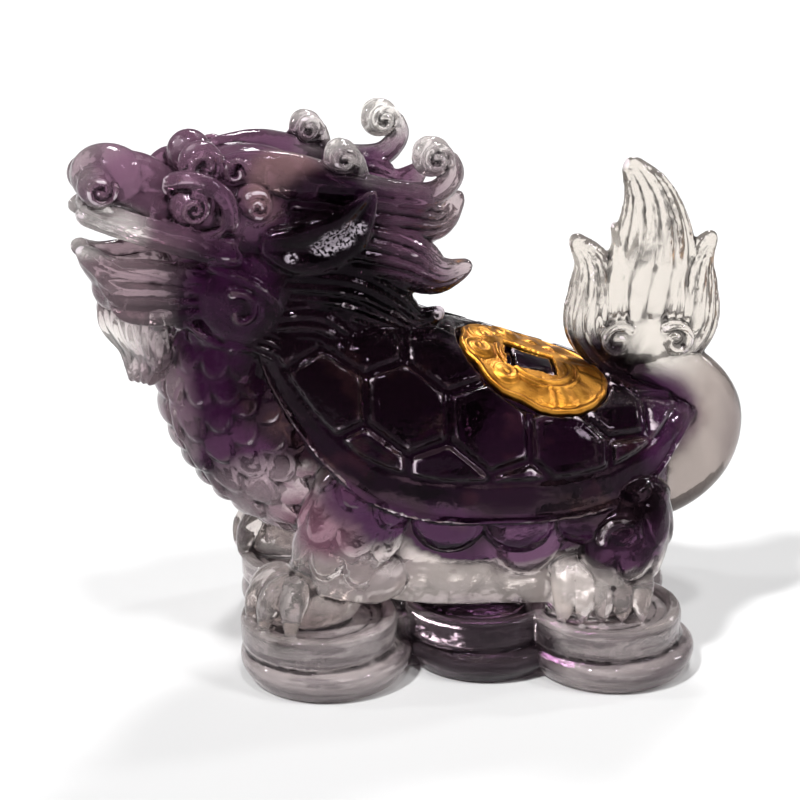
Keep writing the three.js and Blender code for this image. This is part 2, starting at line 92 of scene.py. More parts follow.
upper_radius = COIN_DIAMETER / 2
lower_radius = upper_radius + LOWER_TIER_MARGIN
inner_rim = upper_radius - COIN_RIM_WIDTH
barrel = [(0, 0), (lower_radius - 1.9, 0), (lower_radius - 1.2, 0.35)]
for share in np.linspace(0, 1, 9):
    bulge = sin(pi * (0.08 + 0.57 * share)) - 1
    barrel.append((lower_radius + 1.5 * bulge, 0.7 + 3.3 * share))
barrel += [
    (lower_radius - 0.7, 4.5),
    (lower_radius - 1.7, 4.75),
    (lower_radius - 1.9, LOWER_HEIGHT),
    (0, LOWER_HEIGHT),
]
coin = [
    (0, LOWER_HEIGHT - 0.7),
    (upper_radius - 1.3, LOWER_HEIGHT - 0.7),
    (upper_radius - 0.5, LOWER_HEIGHT - 0.2),
    (upper_radius - 0.1, LOWER_HEIGHT + 0.5),
    (upper_radius, plinth_height - 0.9),
    (upper_radius - 0.2, plinth_height - 0.2),
    (upper_radius - 0.6, plinth_height),
    (inner_rim + 0.3, plinth_height - 0.05),
    (inner_rim, plinth_height - 0.5),
    (inner_rim - 0.4, field_level),
    (inner_rim - 1.4, field_level),
    (inner_rim - 1.7, field_level - 0.25),
    (inner_rim - 2.1, field_level),
    (0, field_level),
]
for x, y in (FRONT_COIN, MIDDLE_COIN, REAR_COIN):
    for side in (-1, 1):
        turn(barrel, (x + LOWER_TIER_SLIP, side * y))
        turn(coin, (x, side * y))

core_length = REAR_COIN[0] - FRONT_COIN[0]
core_middle = (REAR_COIN[0] + FRONT_COIN[0]) / 2
core_height = field_level - 0.5
core = bmesh.new()
core_size = Matrix.Diagonal((core_length, 2 * FRONT_COIN[1], core_height, 1))
core_place = Matrix.Translation((core_middle, 0, core_height / 2))
bmesh.ops.create_cube(core, size=1, matrix=core_place @ core_size)
cast(core)

# Shell: a long dome of near-black glass, cast with sunk lines between six-sided plates, a plain
# border below them and a thin raised line along the rim. A round seat for the gilt coin is
# sunk into it, with a square island that shows through the coin's hole.
SHELL_START = -31
SHELL_END = 33.8
SHELL_FLATNESS = 2.5
CREST = ((-31, 47), (-16, 44.4), (-3, 40.4), (8, 36.8), (20, 32.8), (33.8, 28))
RIM = (
    (-31, 39), (-29.6, 35.6), (-25.6, 29.5), (-21.5, 24.6), (-16, 20.2), (-8, 17.6),
    (5, 17), (17.8, 17.9), (25, 20.4), (30.2, 25), (33.8, 27.2),
)
HALF_WIDTH = ((-31, 9.6), (-26, 14), (-16, 17.8), (0, 19.2), (15, 18.2), (25, 13.6), (30, 8.6), (33.8, 2))
PLATE_PITCH = 11.6
PLATE_START = 1
PLATE_GROOVE = 1.3
PLATE_BEVEL = 0.2
PLATE_RAISE = 0.75
PLATE_LINE_INSET = 1.5
PLATE_LINE_WIDTH = 0.35
PLATE_LINE_DEPTH = 0.12
BORDER_WIDTH = 5.6
BORDER_RAISE_SHARE = 0.35
RIM_LINE_WIDTH = 0.9
RIM_LINE_RAISE = 0.75
SHELL_LIP = 1.3
SHELL_RINGS = 230
SHELL_STEPS = 181
UNDERSIDE_STEPS = 30
UNDERSIDE_SHARE = 0.93
GILT_DIAMETER = 22
GILT_PLACE = (8.6, -5)
GILT_HOLE_WIDTH = 6.4
GILT_THICKNESS = 1.1
GILT_CLEARANCE = 0.3
GILT_PROUD = 0.5
ISLAND_PROUD = 0.1


def along(pairs, x):
    """Values at x of a smooth line through pairs."""
    xs, ys = np.array(pairs, float).T
    x = np.clip(x, xs[0], xs[-1])
    i = np.clip(np.searchsorted(xs, x, side="right") - 1, 0, len(xs) - 2)
    before, after = np.maximum(i - 1, 0), np.minimum(i + 2, len(xs) - 1)
    start_slope = (ys[i + 1] - ys[before]) / (xs[i + 1] - xs[before])
    end_slope = (ys[after] - ys[i]) / (xs[after] - xs[i])
    width = xs[i + 1] - xs[i]
    t = (x - xs[i]) / width
    from_end = t * t * (3 - 2 * t)
    bend = width * t * (1 - t) * ((1 - t) * start_slope - t * end_slope)
    return (1 - from_end) * ys[i] + from_end * ys[i + 1] + bend


def ease(low, high, x):
    """0 below low, 1 above high and a smooth rise between them."""
    t = np.clip((x - low) / (high - low), 0, 1)
    return t * t * (3 - 2 * t)


def spots(x, y, z):
    """Points from arrays of their three coordinates."""
    return np.stack(np.broadcast_arrays(x, y, z), axis=-1)


def on_shell(x, v, lift=0.0):
    """Points on the shell at x and at share v from the crest to the near (-1) or far (1) rim."""
    sine = np.sin(np.asarray(v) * pi / 2)
    rim = along(RIM, x)
    rise = along(CREST, x) - rim + lift
    height = np.maximum(0, 1 - np.abs(sine) ** SHELL_FLATNESS) ** (1 / SHELL_FLATNESS)
    y = (along(HALF_WIDTH, x) + lift) * sine
    return spots(x, y, field_level + rim + rise * height)


def skin(rings, open_ends=False):
    """Wraps a form round rings, an array of rows by columns of points, and fills its two ends."""
    rows, columns = rings.shape[:2]
    form = bmesh.new()
    grid = bmesh.ops.create_grid(form, x_segments=columns, y_segments=rows - 1, size=1)["verts"]
    ends = {0: [], rows - 1: []}
    seam = []
    for vert in grid:
        column = round((vert.co.x + 1) / 2 * columns)
        row = round((vert.co.y + 1) / 2 * (rows - 1))
        vert.co = rings[row, column % columns]
        if column in (0, columns):
            seam.append(vert)
        if row in ends and column < columns:
            ends[row].append(vert)
    if not open_ends:
        for end in ends.values():
            form.faces.new(end)
    bmesh.ops.remove_doubles(form, verts=seam, dist=CLOSE)
    cast(form)


shell_x = np.linspace(SHELL_START, SHELL_END, SHELL_RINGS)[:, None]
shell_v = np.linspace(-1, 1, SHELL_STEPS)[None, :]
bare = on_shell(shell_x, shell_v)
steps = np.linalg.norm(np.diff(bare, axis=1), axis=2)
run = np.concatenate([np.zeros((len(shell_x), 1)), np.cumsum(steps, axis=1)], axis=1)
total = run[:, -1:]
from_crest = run - total / 2
from_rim = np.minimum(run, total - run)
plate_radius = PLATE_PITCH / sqrt(3)
row = np.round(from_crest / (1.5 * plate_radius))
edge = np.full(from_crest.shape, -1.0)
for row_shift in (-1, 0, 1):
    near_row = row + row_shift
    stagger = PLATE_START + np.where(near_row % 2 == 1, 0.5, 0) * PLATE_PITCH
    dx = shell_x - stagger - np.round((shell_x - stagger) / PLATE_PITCH) * PLATE_PITCH
    ds = from_crest - near_row * 1.5 * plate_radius
    slant = sqrt(3) / 2
    reach = np.maximum.reduce([np.abs(dx), np.abs(dx / 2 + ds * slant), np.abs(dx / 2 - ds * slant)])
    edge = np.maximum(edge, PLATE_PITCH / 2 - reach)
edge = np.minimum(edge, from_rim - BORDER_WIDTH)
relief = PLATE_RAISE * ease(PLATE_GROOVE / 2 - PLATE_BEVEL, PLATE_GROOVE / 2 + PLATE_BEVEL, edge)
from_line = edge - PLATE_GROOVE / 2 - PLATE_LINE_INSET
relief -= PLATE_LINE_DEPTH * np.exp(-(from_line / PLATE_LINE_WIDTH) ** 2)
relief += BORDER_RAISE_SHARE * PLATE_RAISE * ease(BORDER_WIDTH + 0.2, BORDER_WIDTH - 0.4, from_rim)
relief += RIM_LINE_RAISE * (1 - ease(0.5 * RIM_LINE_WIDTH, RIM_LINE_WIDTH, from_rim))
gilt_dx, gilt_ds = shell_x - GILT_PLACE[0], from_crest - GILT_PLACE[1]
in_seat = np.hypot(gilt_dx, gilt_ds) < GILT_DIAMETER / 2 + GILT_CLEARANCE
island = np.maximum(np.abs(gilt_dx), np.abs(gilt_ds)) < GILT_HOLE_WIDTH / 2 - GILT_CLEARANCE
relief = np.where(in_seat, GILT_PROUD - GILT_THICKNESS - GILT_CLEARANCE, relief)
relief = np.where(island, ISLAND_PROUD, relief)
dome = on_shell(shell_x, shell_v, relief)
under_share = np.linspace(1, -1, UNDERSIDE_STEPS)[None, 1:-1]
under_y = UNDERSIDE_SHARE * along(HALF_WIDTH, shell_x) * under_share
under_z = field_level + along(RIM, shell_x) - SHELL_LIP * (1 - 0.6 * np.abs(under_share) ** 6)
skin(np.concatenate([dome, spots(shell_x, under_y, under_z)], axis=1))

# Skirt: round flaps of purple glass that hang below the shell's rim like a row of petals, with
# a second row behind them in the gaps and one large flap that hangs lower.
SKIRT_START = -14.5
SKIRT_END = 16.1
PETAL_PITCH = 10
FRONT_PETAL = (5.3, 3.2, 4.8)
BACK_PETAL = (4.6, 2.8, 4.6)
LOW_PETAL = (5.4, 2.2, 6)


def ball(centre, radii, turned=None, detail=30):
    """A squashed ball with its centre and radii, in the figure's frame or in another."""
    place = turned if turned is not None else Matrix.Translation((0, 0, field_level))
    matrix = place @ Matrix.Translation(centre) @ Matrix.Diagonal((*radii, 1))
    form = bmesh.new()
    bmesh.ops.create_uvsphere(form, u_segments=detail, v_segments=2 * detail // 3, radius=1, matrix=matrix)
    cast(form)


for side in (-1, 1):
    for x in np.arange(SKIRT_START, SKIRT_END, PETAL_PITCH):
        width, height = float(along(HALF_WIDTH, x)), float(along(RIM, x))
        ball((x, side * (width - 3), height - 1), FRONT_PETAL)
        ball((x + PETAL_PITCH / 2, side * (width - 5.2), height - 1.6), BACK_PETAL)
    ball((6.4, side * 15.4, 13.6), LOW_PETAL)

# Trunk: the belly and flanks under the shell in clear glass, smooth, with a sharp lower edge
# like a boat's that stands just over the coins.
TRUNK_START = -30
TRUNK_END = 29
TRUNK_HALF = ((-30, 7), (-22, 13.4), (-10, 16), (8, 16.2), (19, 14), (29, 6))
TRUNK_BOTTOM = ((-30, 18), (-24, 7), (-18, 2), (-10, 0), (3, -0.4), (14, -0.4), (21, 3), (29, 14))
TRUNK_WALL = (
    (0, 0.56, -0.05), (0.12, 0.6, 0.1), (0.2, 0.9, 0.13), (0.5, 0.985, 0.42), (0.75, 1, 0.75), (1, 1, 1),
)
TRUNK_RINGS = 120
WALL_STEPS = 60
trunk_x = np.linspace(TRUNK_START, TRUNK_END, TRUNK_RINGS)[:, None]
down_wall = np.linspace(1, 0, WALL_STEPS)
wall_share = np.concatenate([down_wall, np.linspace(0, 1, WALL_STEPS)])[None, :]
wall_side = np.where(np.arange(2 * WALL_STEPS) < WALL_STEPS, 1, -1)[None, :]
shares = np.array(TRUNK_WALL)
wall_y = np.interp(wall_share, shares[:, 0], shares[:, 1]) * wall_side
wall_z = np.interp(wall_share, shares[:, 0], shares[:, 2])
trunk_low = along(TRUNK_BOTTOM, trunk_x)
trunk_high = along(RIM, trunk_x) + 3
trunk_z = field_level + trunk_low + (trunk_high - trunk_low) * wall_z
trunk_y = along(TRUNK_HALF, trunk_x) * wall_y
skin(spots(trunk_x, trunk_y, trunk_z))

# Neck and chest: a swelling S of purple glass, clearer at its foot. Round scales overlap like
# roof tiles down its flanks, and straight belly plates run up the front between two lines.
BLUNT_TIP = 0.002
CHEST_BARS = 17
CHEST_BAR_RAISE = 1.25
CHEST_FRONT = 0.2 * pi
CHEST_LINE_DEPTH = 1.1
CHEST_LINE_WIDTH = 0.045


def stations(points, t):
    """Points and directions at shares t of the length of a smooth line through points."""
    path = np.array(points, float)
    path = np.vstack([2 * path[0] - path[1], path, 2 * path[-1] - path[-2]])
    fine = np.linspace(0, 1, 40, endpoint=False)[:, None]
    pieces = []
    for a, b, c, d in zip(path, path[1:], path[2:], path[3:]):
        first, middle, last = (np.linalg.norm(q - p) ** 0.5 for p, q in ((a, b), (b, c), (c, d)))
        leave = middle * ((b - a) / first - (c - a) / (first + middle) + (c - b) / middle)
        arrive = middle * ((c - b) / middle - (d - b) / (middle + last) + (d - c) / last)
        cubic = 2 * b - 2 * c + leave + arrive
        square = -3 * b + 3 * c - 2 * leave - arrive
        pieces.append(b + leave * fine + square * fine**2 + cubic * fine**3)
    line = np.vstack([*pieces, path[-2:-1]])
    gone = np.concatenate([[0], np.cumsum(np.linalg.norm(np.diff(line, axis=0), axis=1))])
    where = np.asarray(t) * gone[-1]
    small = gone[-1] / 400
    behind, spot, ahead = (
        np.stack([np.interp(where + step, gone, line[:, k]) for k in range(3)], axis=-1)
        for step in (-small, 0, small)
    )
    way = ahead - behind
    return spot, way / np.linalg.norm(way, axis=-1, keepdims=True)


def limb(points, width, depth, facing, rings=60, sides=40, relief=None, blunt=(0, 0)):
    """A tapering form along a smooth line. Width lies across facing and depth along it, a
    quarter turn of the angle faces it, relief(t, angle) raises the skin, and blunt gives the
    shares of the length over which the two ends are rounded off."""
    t = 0.5 - 0.5 * np.cos(np.linspace(0, pi, rings)) if max(blunt) else np.linspace(0, 1, rings)
    spot, way = stations(points, t)
    across = np.cross(way, np.array(facing, float))
    across /= np.linalg.norm(across, axis=-1, keepdims=True)
    out = np.cross(across, way)
    angle = np.linspace(0, 2 * pi, sides, endpoint=False)
    closing = np.ones(rings)
    for end, share in ((t, blunt[0]), (1 - t, blunt[1])):
        if share:
            rounded = np.sqrt(np.maximum(BLUNT_TIP, 1 - np.clip(1 - end / share, 0, 1) ** 2))
            closing = np.minimum(closing, rounded)
    lift = relief(t[:, None], angle[None, :]) if relief else np.zeros((1, 1))
    half_width = (width(t) * closing / 2)[:, None] + lift * closing[:, None]
    half_depth = (depth(t) * closing / 2)[:, None] + lift * closing[:, None]
    rim = (
        spot[:, None, :]
        + across[:, None, :] * (np.cos(angle) * half_width)[..., None]
        + out[:, None, :] * (np.sin(angle) * half_depth)[..., None]
    )
    skin(rim)


def at(x, y, z):
    """A point of the figure, with z counted from the coins' fields."""
    return (x, y, field_level + z)


def scales(t, angle, rows, columns, height):
    """Round scales whose free edges point towards the start of the limb, over those before."""
    row, column = t * rows, angle * columns / (2 * pi)
    lift = 0 * row + 0 * column
    for step in (-1, 0, 1):
        base = np.floor(row) + step
        shift = 0.5 * (base % 2)
        sideways = (column - shift) - np.round(column - shift)
        down = base + 0.55 - row
        reach = (sideways / 0.57) ** 2 + (down / 1.02) ** 2
        slope = 0.25 + 0.75 * (down / 1.02 + 1) / 2
        rise = height * slope * (1 - 0.4 * np.clip(reach, 0, 1) ** 5)
        lift = np.where((reach < 1) & (base < rows) & (base > -1), rise, lift)
    return lift


def chest(t, angle):
    """Belly plates up the front, scales round the rest and a sunk line between them."""
    off = np.abs(np.angle(np.exp(1j * (angle - pi))))
    bars = CHEST_BAR_RAISE * np.abs(np.sin(pi * t * CHEST_BARS)) ** 0.45 * np.cos(off)
    around = scales(t, angle, 11, 15, 2)
    lift = np.where(off < CHEST_FRONT, bars, around)
    return lift - CHEST_LINE_DEPTH * np.exp(-(((off - CHEST_FRONT) / CHEST_LINE_WIDTH) ** 2))


def profile(*pairs):
    """A width that runs smoothly through (share, width) pairs."""
    return lambda t: along(pairs, t)


def taper(start, end):
    """A width that runs evenly from start to end."""
    return profile((0, start), (1, end))


limb(
    [at(-18, 0, 18), at(-29.4, 0, 23), at(-36.4, -0.5, 32.6), at(-35.2, -1.5, 43), at(-31.5, -2, 50)],
    profile((0, 20), (0.35, 20), (0.65, 17.2), (1, 15)),
    profile((0, 24), (0.35, 22.6), (0.65, 19), (1, 15)),
    (0, -1, 0), rings=230, sides=300, relief=chest,
)

# Front legs: short scaled forearms, mauve above and clear below, with a smooth round elbow
# behind and a broad paw whose rounded toes grip the coin. The far leg stands further forward.
FOOT_OUTWARD = 1.2
NEAR_FOOT_FORWARD = 3
FAR_FOOT_FORWARD = 5
TOE_HEADINGS = (-26, 8, 42, 76)
TOE_LINE = ((0.5, 5.6), (4.2, 6.4), (6.6, 4.4), (7.5, 1.6), (7.6, 0.1))


def swell(start, middle, end):
    """A width through three values at the start, the middle and the end."""
    return lambda t: start * (1 - t) * (1 - 2 * t) + 4 * middle * t * (1 - t) + end * t * (2 * t - 1)


for side, forward in ((-1, NEAR_FOOT_FORWARD), (1, FAR_FOOT_FORWARD)):
    x = FRONT_COIN[0] - forward
    y = side * (FRONT_COIN[1] + FOOT_OUTWARD)
    limb(
        [at(x + 5, y, 5.4), at(x + 8, side * 13, 14.6), at(x + 12.4, side * 11.2, 22.5)],
        swell(11.4, 13.4, 14.6), swell(8.6, 10.4, 10.4), (0, side, 0),
        rings=150, sides=170, relief=lambda t, angle: scales(t, angle, 4, 8, 1.5),
    )
    ball((x + 1.4, y, 3.6), (8, 5.6, 5.2), detail=48)
    ball((x + 10.6, side * 13.4, 7.6), (5.6, 4.6, 5), detail=40)
    for degrees in TOE_HEADINGS:
        heading = radians(degrees)
        cosine, sine = cos(heading), sin(heading)
        path = [at(x + 0.6 - reach * cosine, y + side * reach * sine, z) for reach, z in TOE_LINE]
        limb(
            path,
            profile((0, 3.2), (0.35, 3.9), (0.6, 3.5), (0.8, 2.3), (1, 1)),
            profile((0, 3.6), (0.35, 4.2), (0.6, 3.8), (0.8, 2.6), (1, 1.2)),
            (side * sine, cosine, 0), rings=40, sides=24, blunt=(0.2, 0.12),
        )

# Hind legs: bent knees clad in dark purple scales with a curl at the side, on clear feet with
# five claws that stand side by side like the teeth of a comb.
CLAWS_ACROSS = (-5.6, -2.9, -0.2, 2.5, 5.2)
CLAW_LINE = ((0.55, -2.4, 7.2), (0.85, 1.4, 8.6), (1, 3.9, 6.6), (1.04, 5, 3.2), (1.1, 5.2, 0.4))
CURL_POINTS = 26
CURL_CLOSING = 0.82


def curl(place, radius, thickness, turns, start, way=1, rise=0.0):
    """A coiled tendril: a tube whose line winds in to its middle. place(a, b, c) puts a point
    a across, b out of and c up the face that the curl lies on."""
    points = []
    for share in np.linspace(0, 1, CURL_POINTS):
        angle = start + way * 2 * pi * turns * share
        reach = radius * (1 - CURL_CLOSING * share)
        points.append(place(reach * cos(angle), rise * share, reach * sin(angle)))
    out = np.subtract(place(0, 1, 0), place(0, 0, 0))
    limb(
        points, swell(thickness, 0.9 * thickness, 0.55 * thickness),
        swell(thickness, thickness, 0.7 * thickness), out, rings=90, sides=14, blunt=(0.04, 0.06),
    )


for side in (-1, 1):
    x = REAR_COIN[0] - 1.6
    y = side * (REAR_COIN[1] + FOOT_OUTWARD)
    limb(
        [at(x + 2, y, 6.4), at(x + 4, side * 13.2, 13.4), at(x + 3, side * 9, 20)],
        swell(10, 12, 12.4), swell(9, 10.4, 10.4), (0, side, 0),
        rings=140, sides=150, relief=lambda t, angle: scales(t, angle, 4, 7, 1.5), blunt=(0, 0.3),
    )
    curl(
        lambda a, b, c, x=x, side=side: at(x + 3 + a, side * (18.6 + b), 13.6 + c),
        3.4, 1.5, 1.1, 3.4, -1,
    )
    ball((x, y - side, 3), (7.6, 5.4, 5.4), detail=40)
    for across in CLAWS_ACROSS:
        path = [at(x + across * spread + 0.6, y + side * reach, z) for spread, reach, z in CLAW_LINE]
        limb(
            path,
            profile((0, 2.4), (0.4, 3.1), (0.75, 2.6), (1, 1)),
            profile((0, 3.6), (0.4, 4.6), (0.75, 3.4), (1, 1.2)),
            (1, 0, 0), rings=44, sides=24, blunt=(0.2, 0.1),
        )

# Tail: a thick smooth band of clear glass that climbs round the back of the shell and ends in
# an upright flame of fluted tongues, with a pair of small curls at its foot on each face.
limb(
    [at(20, 0, 13), at(30, 0, 15), at(35.2, 0, 20), at(36.2, 0, 26.6), at(32.6, 0, 31.8), at(25, 0, 35.4)],
    profile((0, 9), (0.5, 9.6), (1, 8)), profile((0, 10), (0.5, 9), (1, 7)), (0, -1, 0),
    rings=80, sides=64,
    relief=lambda t, angle: -0.5 * np.exp(-((np.abs(np.sin(angle)) - 1) / 0.12) ** 2),
)


def lock(full):
    """The width of a lock of hair or flame that fills out quickly and is drawn to a point."""
    return lambda t: full * np.sin(pi * (0.26 + 0.7 * t))


def flutes(count, depth, twist=0.0):
    """Rounded ridges that run along a limb, turning by twist from its start to its end."""
    return lambda t, angle: depth * (np.abs(np.sin(count / 2 * (angle + twist * t))) ** 0.7 - 0.5)


FLAME_TONGUES = (
    (((25.4, 34.6), (26, 45), (26.6, 53), (25.6, 59.4), (22.4, 65)), 13.4, 6),
    (((22.4, 34.6), (18.4, 40), (18.2, 45.4), (17.6, 49.6), (14.6, 53.8)), 8.4, 5.4),
    (((28.8, 34.6), (32.2, 40), (32.6, 45.4), (33.1, 49.6), (35.6, 54)), 8.4, 5.4),
    (((23.8, 36), (21.8, 42), (21.6, 47), (22, 51), (20.6, 55.6)), 5, 6.4),
    (((27.6, 36), (29.8, 42), (29.8, 47), (29.6, 51), (31, 55)), 5, 6.4),
)
for path, width, depth in FLAME_TONGUES:
    limb(
        [at(x, 0, z) for x, z in path],
        lock(width), lock(depth), (0, -1, 0),
        rings=90, sides=140, relief=flutes(14, 0.75 if width > 6 else 0.4, 0.5), blunt=(0, 0.04),
    )
ball((25.8, 0, 38), (9.6, 3.9, 5.4), detail=48)
for side in (-1, 1):
    for x, way, start in ((21.4, 1, 0.6), (30, -1, pi - 0.6)):
        curl(
            lambda a, b, c, x=x, side=side: at(x + a, side * (3.5 + b), 38.4 + c),
            2.6, 1.3, 1.3, start, way,
        )

# Head: a dragon's, turned to the near side, raised and tipped a little. It has a frame of its
# own: u forward along the snout, v to the near side and w up. The glass is mauve and cloudy
# over the snout and jaw, clear at the lips, and each form runs into the next.
HEAD_PLACE = at(-33, -2, 52)
HEAD_TURN = 17
HEAD_PITCH = 15
HEAD_ROLL = 4
turn_angle, pitch_angle = radians(HEAD_TURN), radians(HEAD_PITCH)
forward = Vector((
    -cos(turn_angle) * cos(pitch_angle),
    -sin(turn_angle) * cos(pitch_angle),
    sin(pitch_angle),
))
near = Vector((sin(turn_angle), -cos(turn_angle), 0))
near.rotate(Matrix.Rotation(radians(-HEAD_ROLL), 3, forward))
up = forward.cross(near)
head_frame = Matrix.Translation(HEAD_PLACE) @ Matrix((forward, near, up)).transposed().to_4x4()


def on_head(u, v, w):
    """A point of the head."""
    return tuple(head_frame @ Vector((u, v, w)))


def head_ball(u, v, w, radii, detail=40):
    """A ball in the head's frame."""
    ball((u, v, w), radii, turned=head_frame, detail=detail)


def head_limb(points, width, depth, side=1, rings=50, sides=32, relief=None, blunt=(0.08, 0.08)):
    """A limb in the head's frame, on one side of it."""
    placed = [on_head(u, side * v, w) for u, v, w in points]
    limb(placed, width, depth, near * side, rings, sides, relief, blunt)


def head_curl(side, u, v, w, radius, thickness, turns, start, way=1, rise=0.0):
    """A curl that faces outwards on one side of the head."""

    def place(a, b, c):
        return on_head(u + a, side * (v + b), w + c)

    curl(place, radius, thickness, turns, start, way, rise)


head_ball(0.6, 0, 6, (12, 8.6, 10.4), 54)
head_ball(3, 0, -2.4, (8.6, 7.6, 8.6), 48)
head_limb(
    [(2, 0, 6.4), (12, 0, 5), (18.6, 0, 5.8), (23.4, 0, 7)],
    swell(14.4, 8.4, 7.6), swell(14, 9.6, 8), rings=80, sides=64,
)
head_ball(21.8, 0, 7.9, (5.5, 4.7, 4.6), 48)
head_limb(
    [(21, 0, 8.4), (17.4, 0, 8.2), (13.4, 0, 5.8)],
    taper(7, 8), taper(7, 7), sides=48, blunt=(0.2, 0.1),
)
head_limb(
    [(16, 0, 3.2), (21, 0, 3), (25.6, 0, 4)],
    profile((0, 3.4), (0.5, 3.2), (1, 2.4)), profile((0, 8.6), (0.6, 8), (1, 5.4)), sides=48,
    relief=flutes(12, 0.35), blunt=(0.1, 0.2),
)
head_limb(
    [(2, 0, -4.4), (11, 0, -5.6), (18, 0, -6), (23.4, 0, -3.2)],
    swell(13, 8, 2.6), swell(13, 9, 5), rings=80, sides=64,
)
head_ball(17, 0, -7.4, (3.7, 3.6, 3.6))
for side in (-1, 1):
    # nostril coil on the bulb of the nose
    head_ball(24, side * 3.4, 7, (2.9, 2.2, 2.8), 26)
    head_curl(side, 24, 5.2, 7, 2.2, 0.9, 1.5, 2.6, rise=0.6)
    # upper lip, its ridges along the snout, and the two folds above it
    head_limb(
        [(25.8, 2, 2.6), (20, 4.8, 2.2), (12, 6.8, 1.8), (3, 8.4, 1.6)],
        profile((0, 2.6), (0.5, 2.8), (1, 3)), taper(2.6, 2.8), side,
        rings=90, relief=flutes(6, 0.45),
    )
    head_limb(
        [(24.6, 2.6, 4.4), (19, 4.8, 3.8), (12, 6.6, 3.6), (4, 8.4, 3.4)],
        taper(1.8, 1.6), taper(1.8, 1.6), side, rings=70, sides=20,
    )
    # side of the jaw, which nearly closes the mouth, over a fringe of three swept strands
    head_limb(
        [(24.4, 1.4, -2.6), (20, 3.6, -4.2), (13.6, 5.2, -3.6), (6, 6.8, -2.8)],
        profile((0, 2), (0.4, 4), (1, 5)), profile((0, 1.6), (0.5, 2.6), (1, 3)), side,
        rings=90, sides=48, relief=flutes(8, 0.35, 0.4),
    )
    for number in range(3):
        drop = 1.9 * number
        head_limb(
            [(22.8 - drop, 2.2, -3.6 - drop), (19 - 0.6 * drop, 4.2, -6 - drop),
             (13, 5.8, -5.2 - 1.1 * drop), (7, 7.2, -4 - 0.8 * drop), (3 - 0.4 * drop, 8, -1.6 - drop)],
            profile((0, 1.6), (0.5, 2.5), (1, 1.6)), profile((0, 1.8), (0.5, 2.4), (1, 1.6)), side,
            rings=80, sides=26, relief=flutes(5, 0.3),
        )
    # eye as a coiled ball under its brow, and the curls up the forehead and temple
    head_ball(11.4, side * 5.4, 7.2, (2.7, 2.6, 2.7), 30)
    head_curl(side, 11.4, 7.6, 7.2, 2.2, 0.85, 1.6, 1.2, rise=0.8)
    head_limb(
        [(15.4, 4, 9.4), (12, 6.6, 11), (7.6, 7.8, 9.8), (5.4, 8.4, 5.4)],
        swell(1.8, 2.6, 1.4), swell(2.2, 2.8, 1.8), side, rings=60, relief=flutes(6, 0.3),
    )
    head_limb(
        [(14.4, 5, 4), (10, 7, 3.6), (7, 8, 5), (6, 8.4, 8)],
        taper(1.2, 1), taper(1.4, 1), side, sides=16,
    )
    head_ball(10.6, side * 3.2, 12.8, (3.2, 2.8, 3.2), 26)
    head_curl(side, 10.8, 5.4, 13, 2.5, 1.1, 1.4, 2.2, rise=0.5)
    head_ball(3, side * 6.6, 9.6, (2.8, 2.4, 2.8), 26)
    head_curl(side, 2.8, 8.4, 9.4, 2.1, 1, 1.5, 0.4, rise=0.7)
    head_curl(side, 6.6, 6.6, 13.2, 2, 0.9, 1.3, 3.4, -1, rise=0.5)
    head_curl(side, 14.2, 4.4, 9.4, 1.7, 0.9, 1.3, 2.4, rise=0.5)
    # round jowl inside a raised line that runs on below the jaw
    head_ball(-0.4, side * 7, -4.2, (8.4, 4, 7.4), 48)
    head_limb(
        [(-0.6, 9.4, 2.8), (-4.6, 9.6, 1.8), (-7.7, 9.6, -0.6), (-8.6, 9.4, -3.4), (-7.3, 9.2, -6.4),
         (-3.9, 8.8, -9.3), (0.8, 8.2, -11), (4.8, 7.4, -10.6), (8.4, 6.6, -8.8), (11.6, 5.8, -6.4)],
        profile((0, 1), (0.3, 1.9), (0.6, 1.7), (1, 0.8)), taper(2.6, 2.6), side,
        rings=120, sides=20,
    )
    head_limb(
        [(7.6, 7.6, -0.4), (3, 9.8, -0.6), (-1.6, 10.6, -2.2), (-4.4, 10, -5.4)],
        profile((0, 0.8), (0.5, 1.4), (1, 0.8)), taper(1.4, 1.4), side, rings=60, sides=16,
    )
    head_curl(side, 2.4, 10.8, -5.2, 2.9, 1.2, 0.9, 0.8, rise=0.5)
    # round scales between the jowl and the jaw
    for u, v, w in ((8.6, 6.4, -8.6), (5.6, 6.2, -10.4), (11.6, 5.4, -9.6)):
        head_ball(u, side * v, w, (1.9, 1.3, 1.9), 18)

